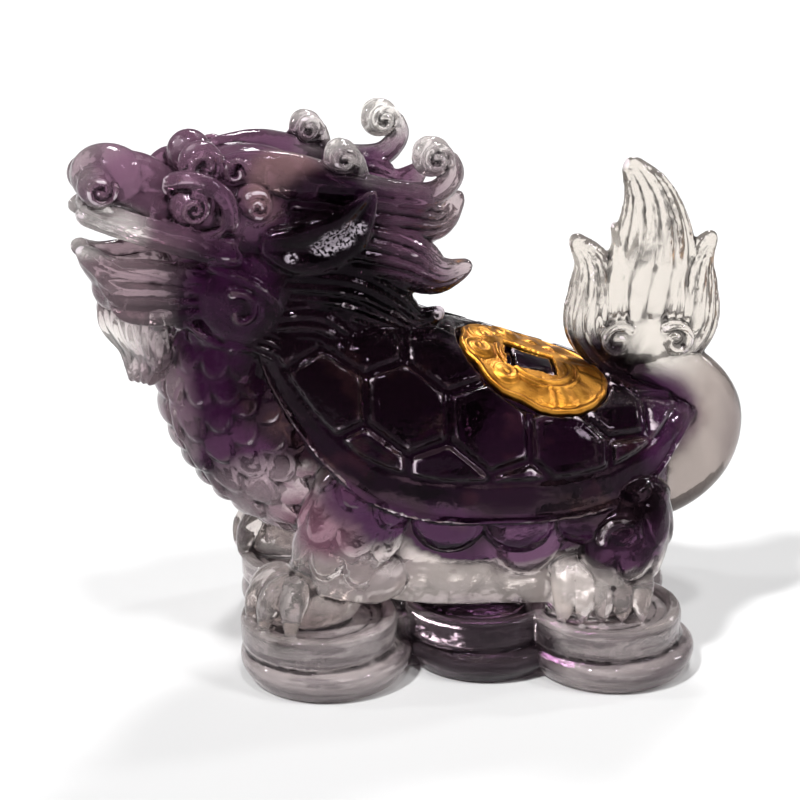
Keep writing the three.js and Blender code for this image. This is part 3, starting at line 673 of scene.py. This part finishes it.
# Horns: a pair that runs back from the brow in brownish glass, smooth at first and then grooved,
# each with one branch. The horn and the branch both end in a clear curled knob.
for side in (-1, 1):
    head_limb(
        [(9, 3.4, 12), (0, 6, 14), (-9, 8.2, 14.6), (-16, 9.6, 15), (-21.4, 10.8, 16.6), (-23, 11.2, 19.8),
         (-21, 11.2, 22.6)],
        profile((0, 5), (0.25, 6.6), (0.5, 4.6), (0.75, 3.6), (1, 2.4)),
        profile((0, 4), (0.35, 4.8), (0.75, 3.4), (1, 2.4)),
        side, rings=120, sides=56, blunt=(0.1, 0.03),
        relief=lambda t, angle: np.clip(2.4 * t - 0.4, 0, 1) * flutes(8, 0.45)(t, angle),
    )
    head_ball(-19.2, side * 11, 21.6, (2.9, 2.2, 2.9), 36)
    head_limb(
        [(-2, 7.2, 13.4), (-8, 8, 13.8), (-10.4, 8.4, 16.2), (-9, 8.4, 19.4)],
        profile((0, 4.4), (0.5, 3.2), (1, 2)), profile((0, 3.6), (0.5, 3), (1, 2)),
        side, rings=70, sides=36, relief=flutes(6, 0.3), blunt=(0.1, 0.05),
    )
    head_ball(-7.2, side * 8.2, 18.6, (2.5, 1.9, 2.5), 32)
    for face in (-1, 1):
        head_curl(side, -19.2, 11 + face * 1.9, 21.6, 2.3, 1.2, 1.5, 3.4, -1, rise=0.7 * face)
        head_curl(side, -7.2, 8.2 + face * 1.7, 18.6, 2, 1.1, 1.5, 3.4, -1, rise=0.6 * face)

# Ears: pointed leaves of near-black glass that lean back over the mane, each hollowed on the
# outside. The hollow is frosted, which the glass below sees to.
EAR_HOLLOW_DEPTH = 1.5
for side in (-1, 1):
    head_limb(
        [(1, 7.8, 4.2), (-4.6, 10.4, 5.2), (-9, 11.8, 8.4), (-12, 12.2, 15.6)],
        lambda t: 8.4 * np.sin(pi * (0.12 + 0.84 * t)),
        profile((0, 3.8), (0.5, 3.6), (1, 1.2)),
        side, rings=90, sides=64,
        relief=lambda t, angle: -EAR_HOLLOW_DEPTH
        * np.exp(-(((angle - pi / 2) / 0.55) ** 2)) * np.sin(pi * t) ** 0.6,
        blunt=(0.06, 0.05),
    )

# Mane: fluted locks of hair that stream back from the cheek and nape, dark at their roots and
# clear at their tips, over a full mass. The lowest locks wave over the front of the shell.
MANE_LOCKS = (
    (((-2, 5.6, 9.6), (-12, 8, 11), (-19, 8.8, 12), (-24, 8.4, 12.6), (-27, 7.4, 16.8)), 10.4, 5),
    (((-3, 7.6, 3.6), (-12, 9.8, 5.8), (-20, 10.2, 6), (-26, 9.8, 4.8), (-31, 9, 7)), 10, 5),
    (((-3, 7.6, -1.6), (-12, 10.6, 0.4), (-19, 11, -0.8), (-24, 10.8, -2.2), (-28, 10.6, 0)), 8.4, 4.6),
    (((-2, 7.4, -8), (-9, 10.4, -5.4), (-15, 11.6, -7.4), (-20, 12, -9.6), (-25, 11.6, -7.2)), 8, 4.4),
    (((1, 6.8, -9), (-5, 9.6, -9.4), (-10, 11.4, -12.4), (-15, 12, -14), (-19, 11.8, -12)), 5.6, 3.4),
)
head_ball(-8, 0, 1.5, (12.4, 8.4, 11.4), 54)
for side in (-1, 1):
    for path, width, depth in MANE_LOCKS:
        head_limb(
            path, lock(width), lock(depth), side,
            rings=110, sides=130, relief=flutes(16, 0.8, 0.35), blunt=(0.05, 0.04),
        )
head_limb(
    [(-4, 0, 6), (-14, 0, 8), (-22, 0, 8.4), (-29, 0, 11)],
    lock(11), lock(10), rings=100, sides=120, relief=flutes(16, 0.8, 0.3), blunt=(0.05, 0.04),
)

# Beard: clear wavy strands that hang side by side from the chin, each with its root a little
# behind the one before.
STRANDS_ACROSS = (-2.6, -0.9, 0.9, 2.6)
for number, across in enumerate(STRANDS_ACROSS):
    root = (17.2 - 1.7 * number, across, -9)
    bend = (16 - 1.7 * number, 1.1 * across, -13)
    knee = (12.4 - 1.1 * number, across, -16.8)
    tip = (11 - 0.5 * number, 0.6 * across, -21.8 + 0.3 * number)
    head_limb(
        [root, bend, knee, tip], lock(3.7), lock(3.4),
        rings=80, sides=40, relief=flutes(6, 0.6, 0.8), blunt=(0.05, 0.05),
    )

# The casting: all of these forms flow into one solid of glass. They are melted together as a
# fine even skin, which is softened as a fire-polished casting is, and then thinned.
MILLIMETRE = 0.001
VOXEL = 0.27
POLISH = 0.5
POLISH_ROUNDS = 2
MOST_TRIANGLES = 190000
SPECK_VERTS = 100


def to_metres(form):
    """Centres a form on the plinth and brings it from millimetres to metres."""
    bmesh.ops.translate(form, vec=(-core_middle - LOWER_TIER_SLIP, 0, 0), verts=form.verts)
    bmesh.ops.scale(form, vec=(MILLIMETRE, MILLIMETRE, MILLIMETRE), verts=form.verts)


def put(name, data):
    """A new object in the scene."""
    made = bpy.data.objects.new(name, data)
    bpy.context.collection.objects.link(made)
    return made


def settled(source):
    """The mesh that an object's modifiers make, as a mesh of its own."""
    evaluated = source.evaluated_get(bpy.context.evaluated_depsgraph_get())
    return bpy.data.meshes.new_from_object(evaluated)


def shade_smooth(mesh):
    """Shades every face of a mesh smooth."""
    mesh.polygons.foreach_set("use_smooth", [True] * len(mesh.polygons))


to_metres(casting)
rough = put("rough_casting", mesh_of(casting, "rough_casting"))
melt = rough.modifiers.new("melt", "REMESH")
melt.mode = "VOXEL"
melt.voxel_size = VOXEL * MILLIMETRE
polish = rough.modifiers.new("polish", "SMOOTH")
polish.factor = POLISH
polish.iterations = POLISH_ROUNDS
melted = settled(rough)
bpy.data.objects.remove(rough)
glass = put("glass_casting", melted)
thin = glass.modifiers.new("thin", "DECIMATE")
thin.ratio = MOST_TRIANGLES / sum(len(face.vertices) - 2 for face in melted.polygons)
thinned = settled(glass)
glass.modifiers.clear()
glass.data = thinned
# small specks that lie apart from the skin are taken out
skinned = bmesh.new()
skinned.from_mesh(glass.data)
waiting = set(skinned.verts)
while waiting:
    island = [waiting.pop()]
    for vert in island:
        for edge_here in vert.link_edges:
            other = edge_here.other_vert(vert)
            if other in waiting:
                waiting.remove(other)
                island.append(other)
    if len(island) < SPECK_VERTS:
        bmesh.ops.delete(skinned, geom=island, context="VERTS")
skinned.to_mesh(glass.data)
skinned.free()
glass.data.name = "glass_casting"
shade_smooth(glass.data)
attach(glass, "root")
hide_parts("dragon_turtle")

# Glass: clear and faintly grey, with purple run into it in clouds. The colour lies thick in the
# shell and the mane, which look black, and thins out over the head, the neck and the legs. Two
# glasses are mixed by place, a clear one and a cloudy one that scatters over half of the light.
CLEAR = (0.9, 0.86, 0.82, 1)
WARM_CLEAR = (0.84, 0.75, 0.7, 1)
GREY = (0.82, 0.76, 0.72, 1)
FLAME_GREY = (0.76, 0.71, 0.65, 1)
BEIGE = (0.42, 0.36, 0.33, 1)
SMOKE = (0.56, 0.47, 0.48, 1)
PINK_GREY = (0.84, 0.75, 0.75, 1)
PALE_LILAC = (0.52, 0.4, 0.44, 1)
PALE_MAUVE = (0.36, 0.26, 0.29, 1)
PINK_MAUVE = (0.2, 0.09, 0.13, 1)
MAUVE = (0.23, 0.12, 0.185, 1)
PURPLE = (0.06, 0.016, 0.058, 1)
DARK_PURPLE = (0.025, 0.005, 0.023, 1)
DEEP_VIOLET = (0.011, 0.002, 0.012, 1)
NEAR_BLACK = (0.004, 0.0015, 0.003, 1)
BROWN = (0.28, 0.16, 0.165, 1)
DULL_PURPLE = (0.07, 0.044, 0.062, 1)
RUST = (0.08, 0.03, 0.025, 1)
RIDGE_HIGHLIGHT = (0.3, 0.2, 0.23, 1)
GLINT = (0.8, 0.7, 0.76, 1)
FROST = (0.5, 0.44, 0.5, 1)
DIM_SHINE = (0.13, 0.1, 0.13, 1)
GLASS_IOR = 1.52
RIPPLE_STRENGTH = 0.25
RIPPLE_DEPTH = 0.0005
FAR_EAR_AHEAD = 7.5
SKIN_ROUGHNESS = 0.03
CLOUDY_ROUGHNESS = 0.12
SEEN_THROUGH_CLEAR = 0.98
SEEN_THROUGH_CLOUDY = 0.4


class Value:
    """A socket of a node tree that takes part in Python expressions."""

    def __init__(self, tree, socket):
        self.tree = tree
        self.socket = socket

    def node(self, kind, inputs, output=0, **settings):
        made = self.tree.nodes.new(kind)
        for name, value in settings.items():
            setattr(made, name, value)
        for key, value in inputs.items():
            socket = made.inputs[key]
            if isinstance(value, Value):
                self.tree.links.new(value.socket, socket)
            else:
                socket.default_value = value
        return Value(self.tree, made.outputs[output])

    def into(self, shader, name):
        """Links this to an input of a shader."""
        self.tree.links.new(self.socket, shader.inputs[name])

    def math(self, operation, other, swap=False):
        pair = (other, self) if swap else (self, other)
        return self.node("ShaderNodeMath", {0: pair[0], 1: pair[1]}, operation=operation)

    def __add__(self, other):
        return self.math("ADD", other)

    __radd__ = __add__

    def __mul__(self, other):
        return self.math("MULTIPLY", other)

    __rmul__ = __mul__

    def __sub__(self, other):
        return self.math("SUBTRACT", other)

    def __rsub__(self, other):
        return self.math("SUBTRACT", other, swap=True)

    def between(self, low, high):
        """0 at low, 1 at high and a smooth rise between them."""
        inputs = {"Value": self, "From Min": low, "From Max": high}
        return self.node("ShaderNodeMapRange", inputs, interpolation_type="SMOOTHSTEP")

    def tint(self, first, second, mode="MIX"):
        """first where this is 0 and second where it is 1."""
        inputs = {"Factor": self, 6: first, 7: second}
        return self.node("ShaderNodeMix", inputs, output=2, data_type="RGBA", blend_type=mode)

    def blend(self, first, second):
        """first where this is 0 and second where it is 1, for plain numbers."""
        return first + self * (second - first)


def material(name):
    """A new material with its shader and the object's own coordinates."""
    made = bpy.data.materials.new(name)
    made.use_nodes = True
    tree = made.node_tree
    shader = tree.nodes["Principled BSDF"]
    coordinates = tree.nodes.new("ShaderNodeTexCoord")
    return made, tree, shader, Value(tree, coordinates.outputs["Object"])


def cloud(place, scale, detail, distortion=0.0):
    """A soft noise about 0.5, with scale in patches to a millimetre."""
    inputs = {"Vector": place, "Scale": scale * 1000, "Detail": detail, "Distortion": distortion}
    return place.node("ShaderNodeTexNoise", inputs)


def pool(place, wander, centre, radii, soft):
    """1 inside a pool of colour round centre, falling to 0 over the share soft of its radii."""
    away = tuple(-c * MILLIMETRE for c in centre)
    shifted = place.node("ShaderNodeVectorMath", {0: place, 1: away}, operation="ADD")
    shrink = tuple(1000 / r for r in radii)
    shrunk = place.node("ShaderNodeVectorMath", {0: shifted, 1: shrink}, operation="MULTIPLY")
    far = place.node("ShaderNodeVectorMath", {0: shrunk}, operation="LENGTH", output=1)
    return (far + wander).between(1 + soft / 2, 1 - soft / 2)


glass_material, tree, shader, place = material("purple_cast_glass")
wander = (cloud(place, 0.13, 4, distortion=0.8) - 0.5) * 0.5
fine = cloud(place, 0.45, 4, distortion=0.4)
colour = (fine.between(0.35, 0.75) * 0.4).tint(GREY, SMOKE)
murk = fine.between(0.4, 0.8) * 0.15 + 0.12
# each pool has its centre and radii in millimetres, softness, colour, strength and cloudiness
pools = (
    # greyer tail with painted shade along its outer edge, satin belly, and the clear flame, horn knobs and
    # beard
    ((38, 0, 30), (9, 30, 22), 0.5, BEIGE, 1, 0.25),
    # painted shade along the tail's outer edge
    ((44, 0, 31), (5, 30, 20), 0.9, DULL_PURPLE, 0.45, 0.3),
    ((0, 0, 14), (24, 30, 8), 0.5, WARM_CLEAR, 0.9, 0.7),
    ((26, 0, 60), (18, 30, 20), 0.4, FLAME_GREY, 1, 0.15),
    ((-12, 0, 80), (18, 40, 7), 0.5, CLEAR, 1, 0.3),
    ((-48, -4, 50), (6, 12, 8), 0.6, CLEAR, 1, 0.2),
    # the plinth's grey, its middle coins darkened by painted shade where the belly overhangs them, and the
    # purple at the foot of the others
    ((-1, 0, 2), (50, 60, 9.5), 0.25, PINK_GREY, 0.8, 0.4),
    # painted shade on the middle coins under the belly
    ((1.6, 0, 4), (11.8, 60, 8), 0.3, DULL_PURPLE, 0.92, 0.15),
    ((27, 0, 2.6), (7, 60, 3), 0.8, DULL_PURPLE, 0.4, 0.3),
    ((-24, 0, 1.2), (12, 60, 2), 0.9, DULL_PURPLE, 0.3, 0.3),
    # head, with its clear lip and pale jaw
    ((-37, -4, 70), (21, 30, 12), 0.5, MAUVE, 1, 0.5),
    ((-48, -8, 60), (10, 18, 7.5), 0.8, PALE_MAUVE, 1, 0.35),
    ((-54, -10, 67.4), (9, 14, 4), 0.5, CLEAR, 1, 0.4),
    ((-29, 0, 72), (9, 30, 6), 0.8, PURPLE, 0.5, 0.5),
    ((-53, -10, 70), (5, 14, 8), 0.9, PURPLE, 0.2, 0.5),
    ((-30, -8, 57), (14, 30, 11), 0.7, DARK_PURPLE, 1, 0.4),
    ((-25.5, -10, 72.5), (5.5, 10, 5.5), 0.6, BROWN, 0.9, 0.7),
    ((-20, -8, 70), (6, 30, 5), 0.7, DARK_PURPLE, 0.9, 0.5),
    # mane: black at its roots, purple along the locks and clear at their tips
    ((-13, 0, 62), (16, 60, 12), 0.4, PURPLE, 1, 0.35),
    ((-20, 0, 60), (9, 60, 13), 0.6, NEAR_BLACK, 1, 0.2),
    ((-6, 0, 66), (7, 60, 10), 0.8, MAUVE, 0.8, 0.4),
    ((1, 0, 66), (6, 60, 10), 0.9, SMOKE, 1, 0.2),
    ((-13, 0, 53), (14, 60, 6), 0.5, NEAR_BLACK, 0.95, 0.2),
    # neck, paler down its front and at its foot
    ((-34, -4, 42), (12, 60, 18), 0.4, DARK_PURPLE, 1, 0.4),
    ((-45, -4, 38), (5, 60, 13), 0.9, PALE_MAUVE, 0.9, 0.3),
    ((-28, -4, 27), (9, 60, 6), 0.9, PALE_LILAC, 0.8, 0.5),
    # forearms, elbows, skirt and knees
    ((-20, 0, 25), (7, 60, 5), 0.7, PINK_MAUVE, 1, 0.6),
    ((-14.5, 0, 30.4), (8.5, 60, 5), 0.6, DARK_PURPLE, 1, 0.2),
    ((-14, 0, 19), (6, 60, 5), 0.9, PALE_LILAC, 0.4, 0.4),
    ((3, 0, 26.8), (24, 60, 7.4), 0.3, DEEP_VIOLET, 1, 0.2),
    ((4.5, -22.5, 23.3), (21, 10, 6.2), 0.15, DEEP_VIOLET, 1, 0.12),
    ((4.5, 22.5, 23.3), (21, 10, 6.2), 0.15, DEEP_VIOLET, 1, 0.12),
    ((7.5, -18, 20.5), (6, 4, 5), 0.6, PURPLE, 0.9, 0.25),
    ((7.5, 18, 20.5), (6, 4, 5), 0.6, PURPLE, 0.9, 0.25),
    ((22, 0, 25), (9, 60, 9), 0.35, DARK_PURPLE, 1, 0.3),
    # shell, with a purple rear tip
    ((-17, 0, 45), (17, 60, 14), 0.25, NEAR_BLACK, 1, 0.1),
    ((3, 0, 38), (28, 60, 12), 0.25, NEAR_BLACK, 1, 0.1),
    ((19, 0, 33), (13, 60, 10.5), 0.3, NEAR_BLACK, 1, 0.1),
    ((30, 0, 35.5), (5, 60, 6.5), 0.6, PURPLE, 0.9, 0.5),
)
for centre, radii, soft, hue, strength, cloudiness in pools:
    share = pool(place, wander, centre, radii, soft) * strength
    colour = share.tint(colour, hue)
    murk = share.blend(murk, cloudiness)
# dark streaks run round the plinth, rusty patches in the shell and threads all through the rest
lying = place.node("ShaderNodeVectorMath", {0: place, 1: (1, 1, 7)}, operation="MULTIPLY")
in_plinth = pool(place, 0, (0, 0, 0), (90, 90, 10.2), 0.08)
colour = (cloud(lying, 0.12, 5).between(0.48, 0.6) * in_plinth * 0.5).tint(colour, DULL_PURPLE)
in_shell = pool(place, wander, (3, 0, 40), (34, 34, 16), 0.4)
colour = (cloud(place, 0.16, 2).between(0.55, 0.75) * in_shell * 0.4).tint(colour, RUST)
threads = cloud(place, 0.22, 3, distortion=1.2).between(0.56, 0.72)
colour = (threads * murk * 0.4).tint(colour, DARK_PURPLE)
# painted shade darkens the carving's creases, painted highlights lighten its edges, and painted glints sit
# on those edges here and there
curve = Value(tree, tree.nodes.new("ShaderNodeNewGeometry").outputs["Pointiness"])
# painted highlight on the carving's edges
colour = (curve.between(0.525, 0.555) * 0.35).tint(colour, RIDGE_HIGHLIGHT, "LIGHTEN")
# painted shade in the carving's creases
colour = (curve.between(0.497, 0.472) * 0.92).tint(colour, NEAR_BLACK)
# painted glints along the edges, also made cloudier so that they show bright
highlight_edge = curve.between(0.522, 0.55) * curve.between(0.62, 0.58)
glint = highlight_edge * cloud(place, 0.4, 4).between(0.53, 0.61)
colour = (glint * 0.85).tint(colour, GLINT, "LIGHTEN")
murk = glint.blend(murk, 1.2)
# frosted hollow of each ear
speckle = cloud(place, 2.4, 4).between(0.38, 0.6)
for side, ahead in ((-1, 0), (1, FAR_EAR_AHEAD)):
    for x, z, radii in (
        (-20.6, 64.2, (2.2, 3, 1.2)), (-18.6, 65.4, (2.5, 3, 1.5)), (-16.2, 66.9, (2, 3, 1.2)),
        (-25.2, 62.9, (1, 3, 0.8)),
    ):
        frost = pool(place, wander * 0.4, (x + ahead, side * 12.5, z), radii, 0.5) * speckle
        colour = frost.tint(colour, FROST)
        murk = frost.blend(murk, 1.5)
roughness = murk * (CLOUDY_ROUGHNESS - SKIN_ROUGHNESS) + SKIN_ROUGHNESS
ripple = cloud(place, 0.4, 2) + cloud(place, 1.3, 3) * 0.3
ripples = {"Strength": RIPPLE_STRENGTH, "Distance": RIPPLE_DEPTH, "Height": ripple}
bump = place.node("ShaderNodeBump", ripples)
cloudy_shader = tree.nodes.new("ShaderNodeBsdfPrincipled")
for glass_shader, seen_through in ((shader, SEEN_THROUGH_CLEAR), (cloudy_shader, SEEN_THROUGH_CLOUDY)):
    colour.into(glass_shader, "Base Color")
    roughness.into(glass_shader, "Roughness")
    bump.into(glass_shader, "Normal")
    glass_shader.inputs["Transmission Weight"].default_value = seen_through
    glass_shader.inputs["IOR"].default_value = GLASS_IOR
    glass_shader.inputs["Specular Tint"].default_value = DIM_SHINE
clear_glass = Value(tree, shader.outputs["BSDF"])
cloudy_glass = Value(tree, cloudy_shader.outputs["BSDF"])
both = murk.node("ShaderNodeMixShader", {0: murk, 1: clear_glass, 2: cloudy_glass})
both.into(tree.nodes["Material Output"], "Surface")
glass.data.materials.append(glass_material)

# Gilt coin: a thin plate bent over the shell, with a raised rim and a square hole. Its face is
# cast in low relief, cloud curls towards the head and fans of ribs round the rest, and worn.
GILT_RIM_WIDTH = 0.9
GILT_RIM_RAISE = 0.25
GILT_RINGS = 46
GILT_SEGMENTS = 200
GILT_LINE_RAISE = 0.36
GILT_RIBS = 15
GILT_RIB_RAISE = 0.4
GILT_CURLS = ((-8, -1.6, 2.5), (-7, 3.2, 2.6), (-3.4, 7.4, 2.5), (-4.6, -5.8, 2))
GILT_CURL_PITCH = 1.5
FINE_STEPS = 801


def share_at(x, distance):
    """Share v at a distance measured round the shell from its crest, at each x."""
    fine_v = np.linspace(-1, 1, FINE_STEPS)
    out = np.empty_like(distance)
    for index in np.ndindex(distance.shape):
        line = on_shell(np.full(FINE_STEPS, x[index]), fine_v)
        gone = np.concatenate([[0], np.cumsum(np.linalg.norm(np.diff(line, axis=0), axis=1))])
        middle = np.interp(0, fine_v, gone)
        out[index] = np.interp(middle + distance[index], gone, fine_v)
    return out


bearing = np.linspace(0, 2 * pi, GILT_SEGMENTS, endpoint=False)[None, :]
square = np.maximum(np.abs(np.cos(bearing)), np.abs(np.sin(bearing)))
hole_edge = GILT_HOLE_WIDTH / 2 / square
hole_edge = hole_edge * (
    1.06 + 0.06 * np.sin(7 * bearing) * np.sin(3 * bearing + 1) + 0.02 * np.sin(31 * bearing)
)
headwards = ease(-0.2, -0.7, np.cos(bearing - 0.5))
hole_edge = hole_edge * (1 + 0.25 * ease(0.1, -0.8, np.cos(bearing)))
outer_edge = GILT_DIAMETER / 2 - 0.16 * np.abs(np.sin(9 * bearing) * np.sin(4 * bearing))
outer_edge -= 0.55 * headwards * np.abs(np.cos(4.2 * bearing)) ** 3
gilt_share = np.linspace(0, 1, GILT_RINGS)[:, None]
gilt_radius = hole_edge + (outer_edge - hole_edge) * gilt_share
gilt_x = gilt_radius * np.cos(bearing)
gilt_y = gilt_radius * np.sin(bearing)
from_edge = outer_edge - gilt_radius
face = GILT_RIM_RAISE * (1 - ease(GILT_RIM_WIDTH * 0.5, GILT_RIM_WIDTH, from_edge))
# a double line that follows the hole on the near side and the tail side
for reach, width in ((4.9, 0.5), (6, 0.3)):
    line = np.hypot(gilt_x - 0.6, gilt_y + 0.6) - reach
    ridge = ease(width, 0.3 * width, np.abs(line))
    face = np.maximum(face, GILT_LINE_RAISE * ridge * ease(2.4, 0.6, gilt_y))
# fans of curved ribs outside it
ribs = 0.5 + 0.5 * np.cos(GILT_RIBS * bearing + 0.42 * gilt_radius)
fan = ease(6.4, 7, gilt_radius) * ease(10.4, 9.8, gilt_radius) * (1 - headwards)
fan_width = 0.5 + 0.5 * np.cos(2.5 * bearing) ** 2
face = np.maximum(face, GILT_RIB_RAISE * fan * ribs ** 0.7 * fan_width)
# cloud curls towards the head, each a mound with a coiled groove
for cx, cy, radius in GILT_CURLS:
    away = np.hypot(gilt_x - cx, gilt_y - cy)
    turn_here = np.arctan2(gilt_y - cy, gilt_x - cx)
    mound = ease(radius, radius * 0.75, away)
    coil = 0.5 + 0.5 * np.cos(2 * pi * away / GILT_CURL_PITCH - turn_here)
    face = np.maximum(face * (1 - mound), mound * (0.26 + 0.24 * coil))
face -= 0.3 * ease(0.4, 0, from_edge)
coin_x = GILT_PLACE[0] + gilt_x
gilt_v = share_at(coin_x, GILT_PLACE[1] + gilt_y)
top = on_shell(coin_x, gilt_v, GILT_PROUD + face)
bottom = on_shell(coin_x[::-1], gilt_v[::-1], GILT_PROUD - GILT_THICKNESS)
casting = bmesh.new()
skin(np.concatenate([top, bottom, top[:1]], axis=0), open_ends=True)
bmesh.ops.remove_doubles(casting, verts=casting.verts, dist=CLOSE)
bmesh.ops.recalc_face_normals(casting, faces=casting.faces)
to_metres(casting)
gilt = put("gilt_coin_leafed", mesh_of(casting, "gilt_coin_leafed"))
shade_smooth(gilt.data)
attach(gilt, "root")
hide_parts("gilt_coin")

GOLD = (0.42, 0.17, 0.02, 1)
PALE_GOLD = (0.57, 0.27, 0.045, 1)
WORN_AND_SHADED_GOLD = (0.2, 0.07, 0.01, 1)
gilt_material, tree, shader, place = material("worn_gilding")
patches = cloud(place, 0.35, 4, distortion=0.5)
leaf = patches.between(0.35, 0.7).tint(GOLD, PALE_GOLD)
worn = cloud(place, 0.8, 6, distortion=1.0).between(0.6, 0.72)
leaf = (worn * 0.8).tint(leaf, WORN_AND_SHADED_GOLD)
# painted shade: the gilding's creases are darkened
curve = Value(tree, tree.nodes.new("ShaderNodeNewGeometry").outputs["Pointiness"])
leaf = (curve.between(0.497, 0.47) * 0.8).tint(leaf, WORN_AND_SHADED_GOLD)
leaf.into(shader, "Base Color")
sheen = patches.between(0.3, 0.8) * 0.2 + 0.32 + worn * 0.15
sheen.into(shader, "Roughness")
shader.inputs["Metallic"].default_value = 1
grain = cloud(place, 3.0, 4) * 0.5 + patches
bump = place.node("ShaderNodeBump", {"Strength": 0.5, "Distance": 0.00025, "Height": grain})
bump.into(shader, "Normal")
gilt.data.materials.append(gilt_material)

# Studio: a plain pale floor under a dim dome, soft lamps round the figure, and the camera at
# the photograph's angle.
FLOOR_HALF = 6
FLOOR_DROP = 0.00005
FLOOR_GREY = (0.52, 0.52, 0.52, 1)
FLOOR_ROUGHNESS = 0.7
HORIZON = (0.3, 0.3, 0.3, 1)
ZENITH = (0.05, 0.045, 0.05, 1)
LOOK_AT = Vector((-0.0093, 0, 0.0378))
CAMERA_AZIMUTH = -4
CAMERA_ELEVATION = 19
CAMERA_DISTANCE = 0.3
CAMERA_LENS = 91
floor_build = bmesh.new()
bmesh.ops.create_grid(floor_build, x_segments=1, y_segments=1, size=FLOOR_HALF)
floor = put("floor", mesh_of(floor_build, "floor"))
floor.location = (0, 0, -FLOOR_DROP)
floor_material, tree, shader, place = material("pale_floor")
shader.inputs["Base Color"].default_value = FLOOR_GREY
shader.inputs["Roughness"].default_value = FLOOR_ROUGHNESS
floor.data.materials.append(floor_material)

world = bpy.data.worlds.new("studio")
bpy.context.scene.world = world
world.use_nodes = True
sky = world.node_tree
backdrop = sky.nodes["Background"]
heading = Value(sky, sky.nodes.new("ShaderNodeTexCoord").outputs["Generated"])
height = heading.node("ShaderNodeSeparateXYZ", {0: heading}, output=2)
dusk = height.between(0.0, 0.5).tint(HORIZON, ZENITH)
dusk.into(backdrop, "Color")
bpy.context.scene.view_settings.view_transform = "Standard"


def aim(thing, azimuth, elevation, distance):
    """Stands a lamp or the camera off at an azimuth and an elevation, facing the figure."""
    a, e = radians(azimuth), radians(elevation)
    back = Vector((sin(a) * cos(e), -cos(a) * cos(e), sin(e)))
    thing.location = LOOK_AT + distance * back
    thing.rotation_euler = (-back).to_track_quat("-Z", "Y").to_euler()


# broad lamps far off, which shine evenly over the floor
for name, azimuth, elevation, softness, power in (
    ("key", -45, 55, 6, 3.6),
    ("fill", 60, 40, 12, 1.3),
    ("back", 165, 50, 14, 2),
    ("near_glint", 10, 68, 5, 1),
    ("head_glint", -95, 28, 5, 0.8),
    ("tail_glint", 110, 30, 5, 0.8),
):
    lamp = bpy.data.lights.new(name, "SUN")
    lamp.angle = radians(softness)
    lamp.energy = power
    aim(put(name, lamp), azimuth, elevation, 1)

camera_data = bpy.data.cameras.new("camera")
camera_data.lens = CAMERA_LENS
camera = put("camera", camera_data)
aim(camera, CAMERA_AZIMUTH, CAMERA_ELEVATION, CAMERA_DISTANCE)
camera_data.clip_start = 0.01
camera_data.clip_end = 20
bpy.context.scene.camera = camera

bpy.context.view_layer.update()
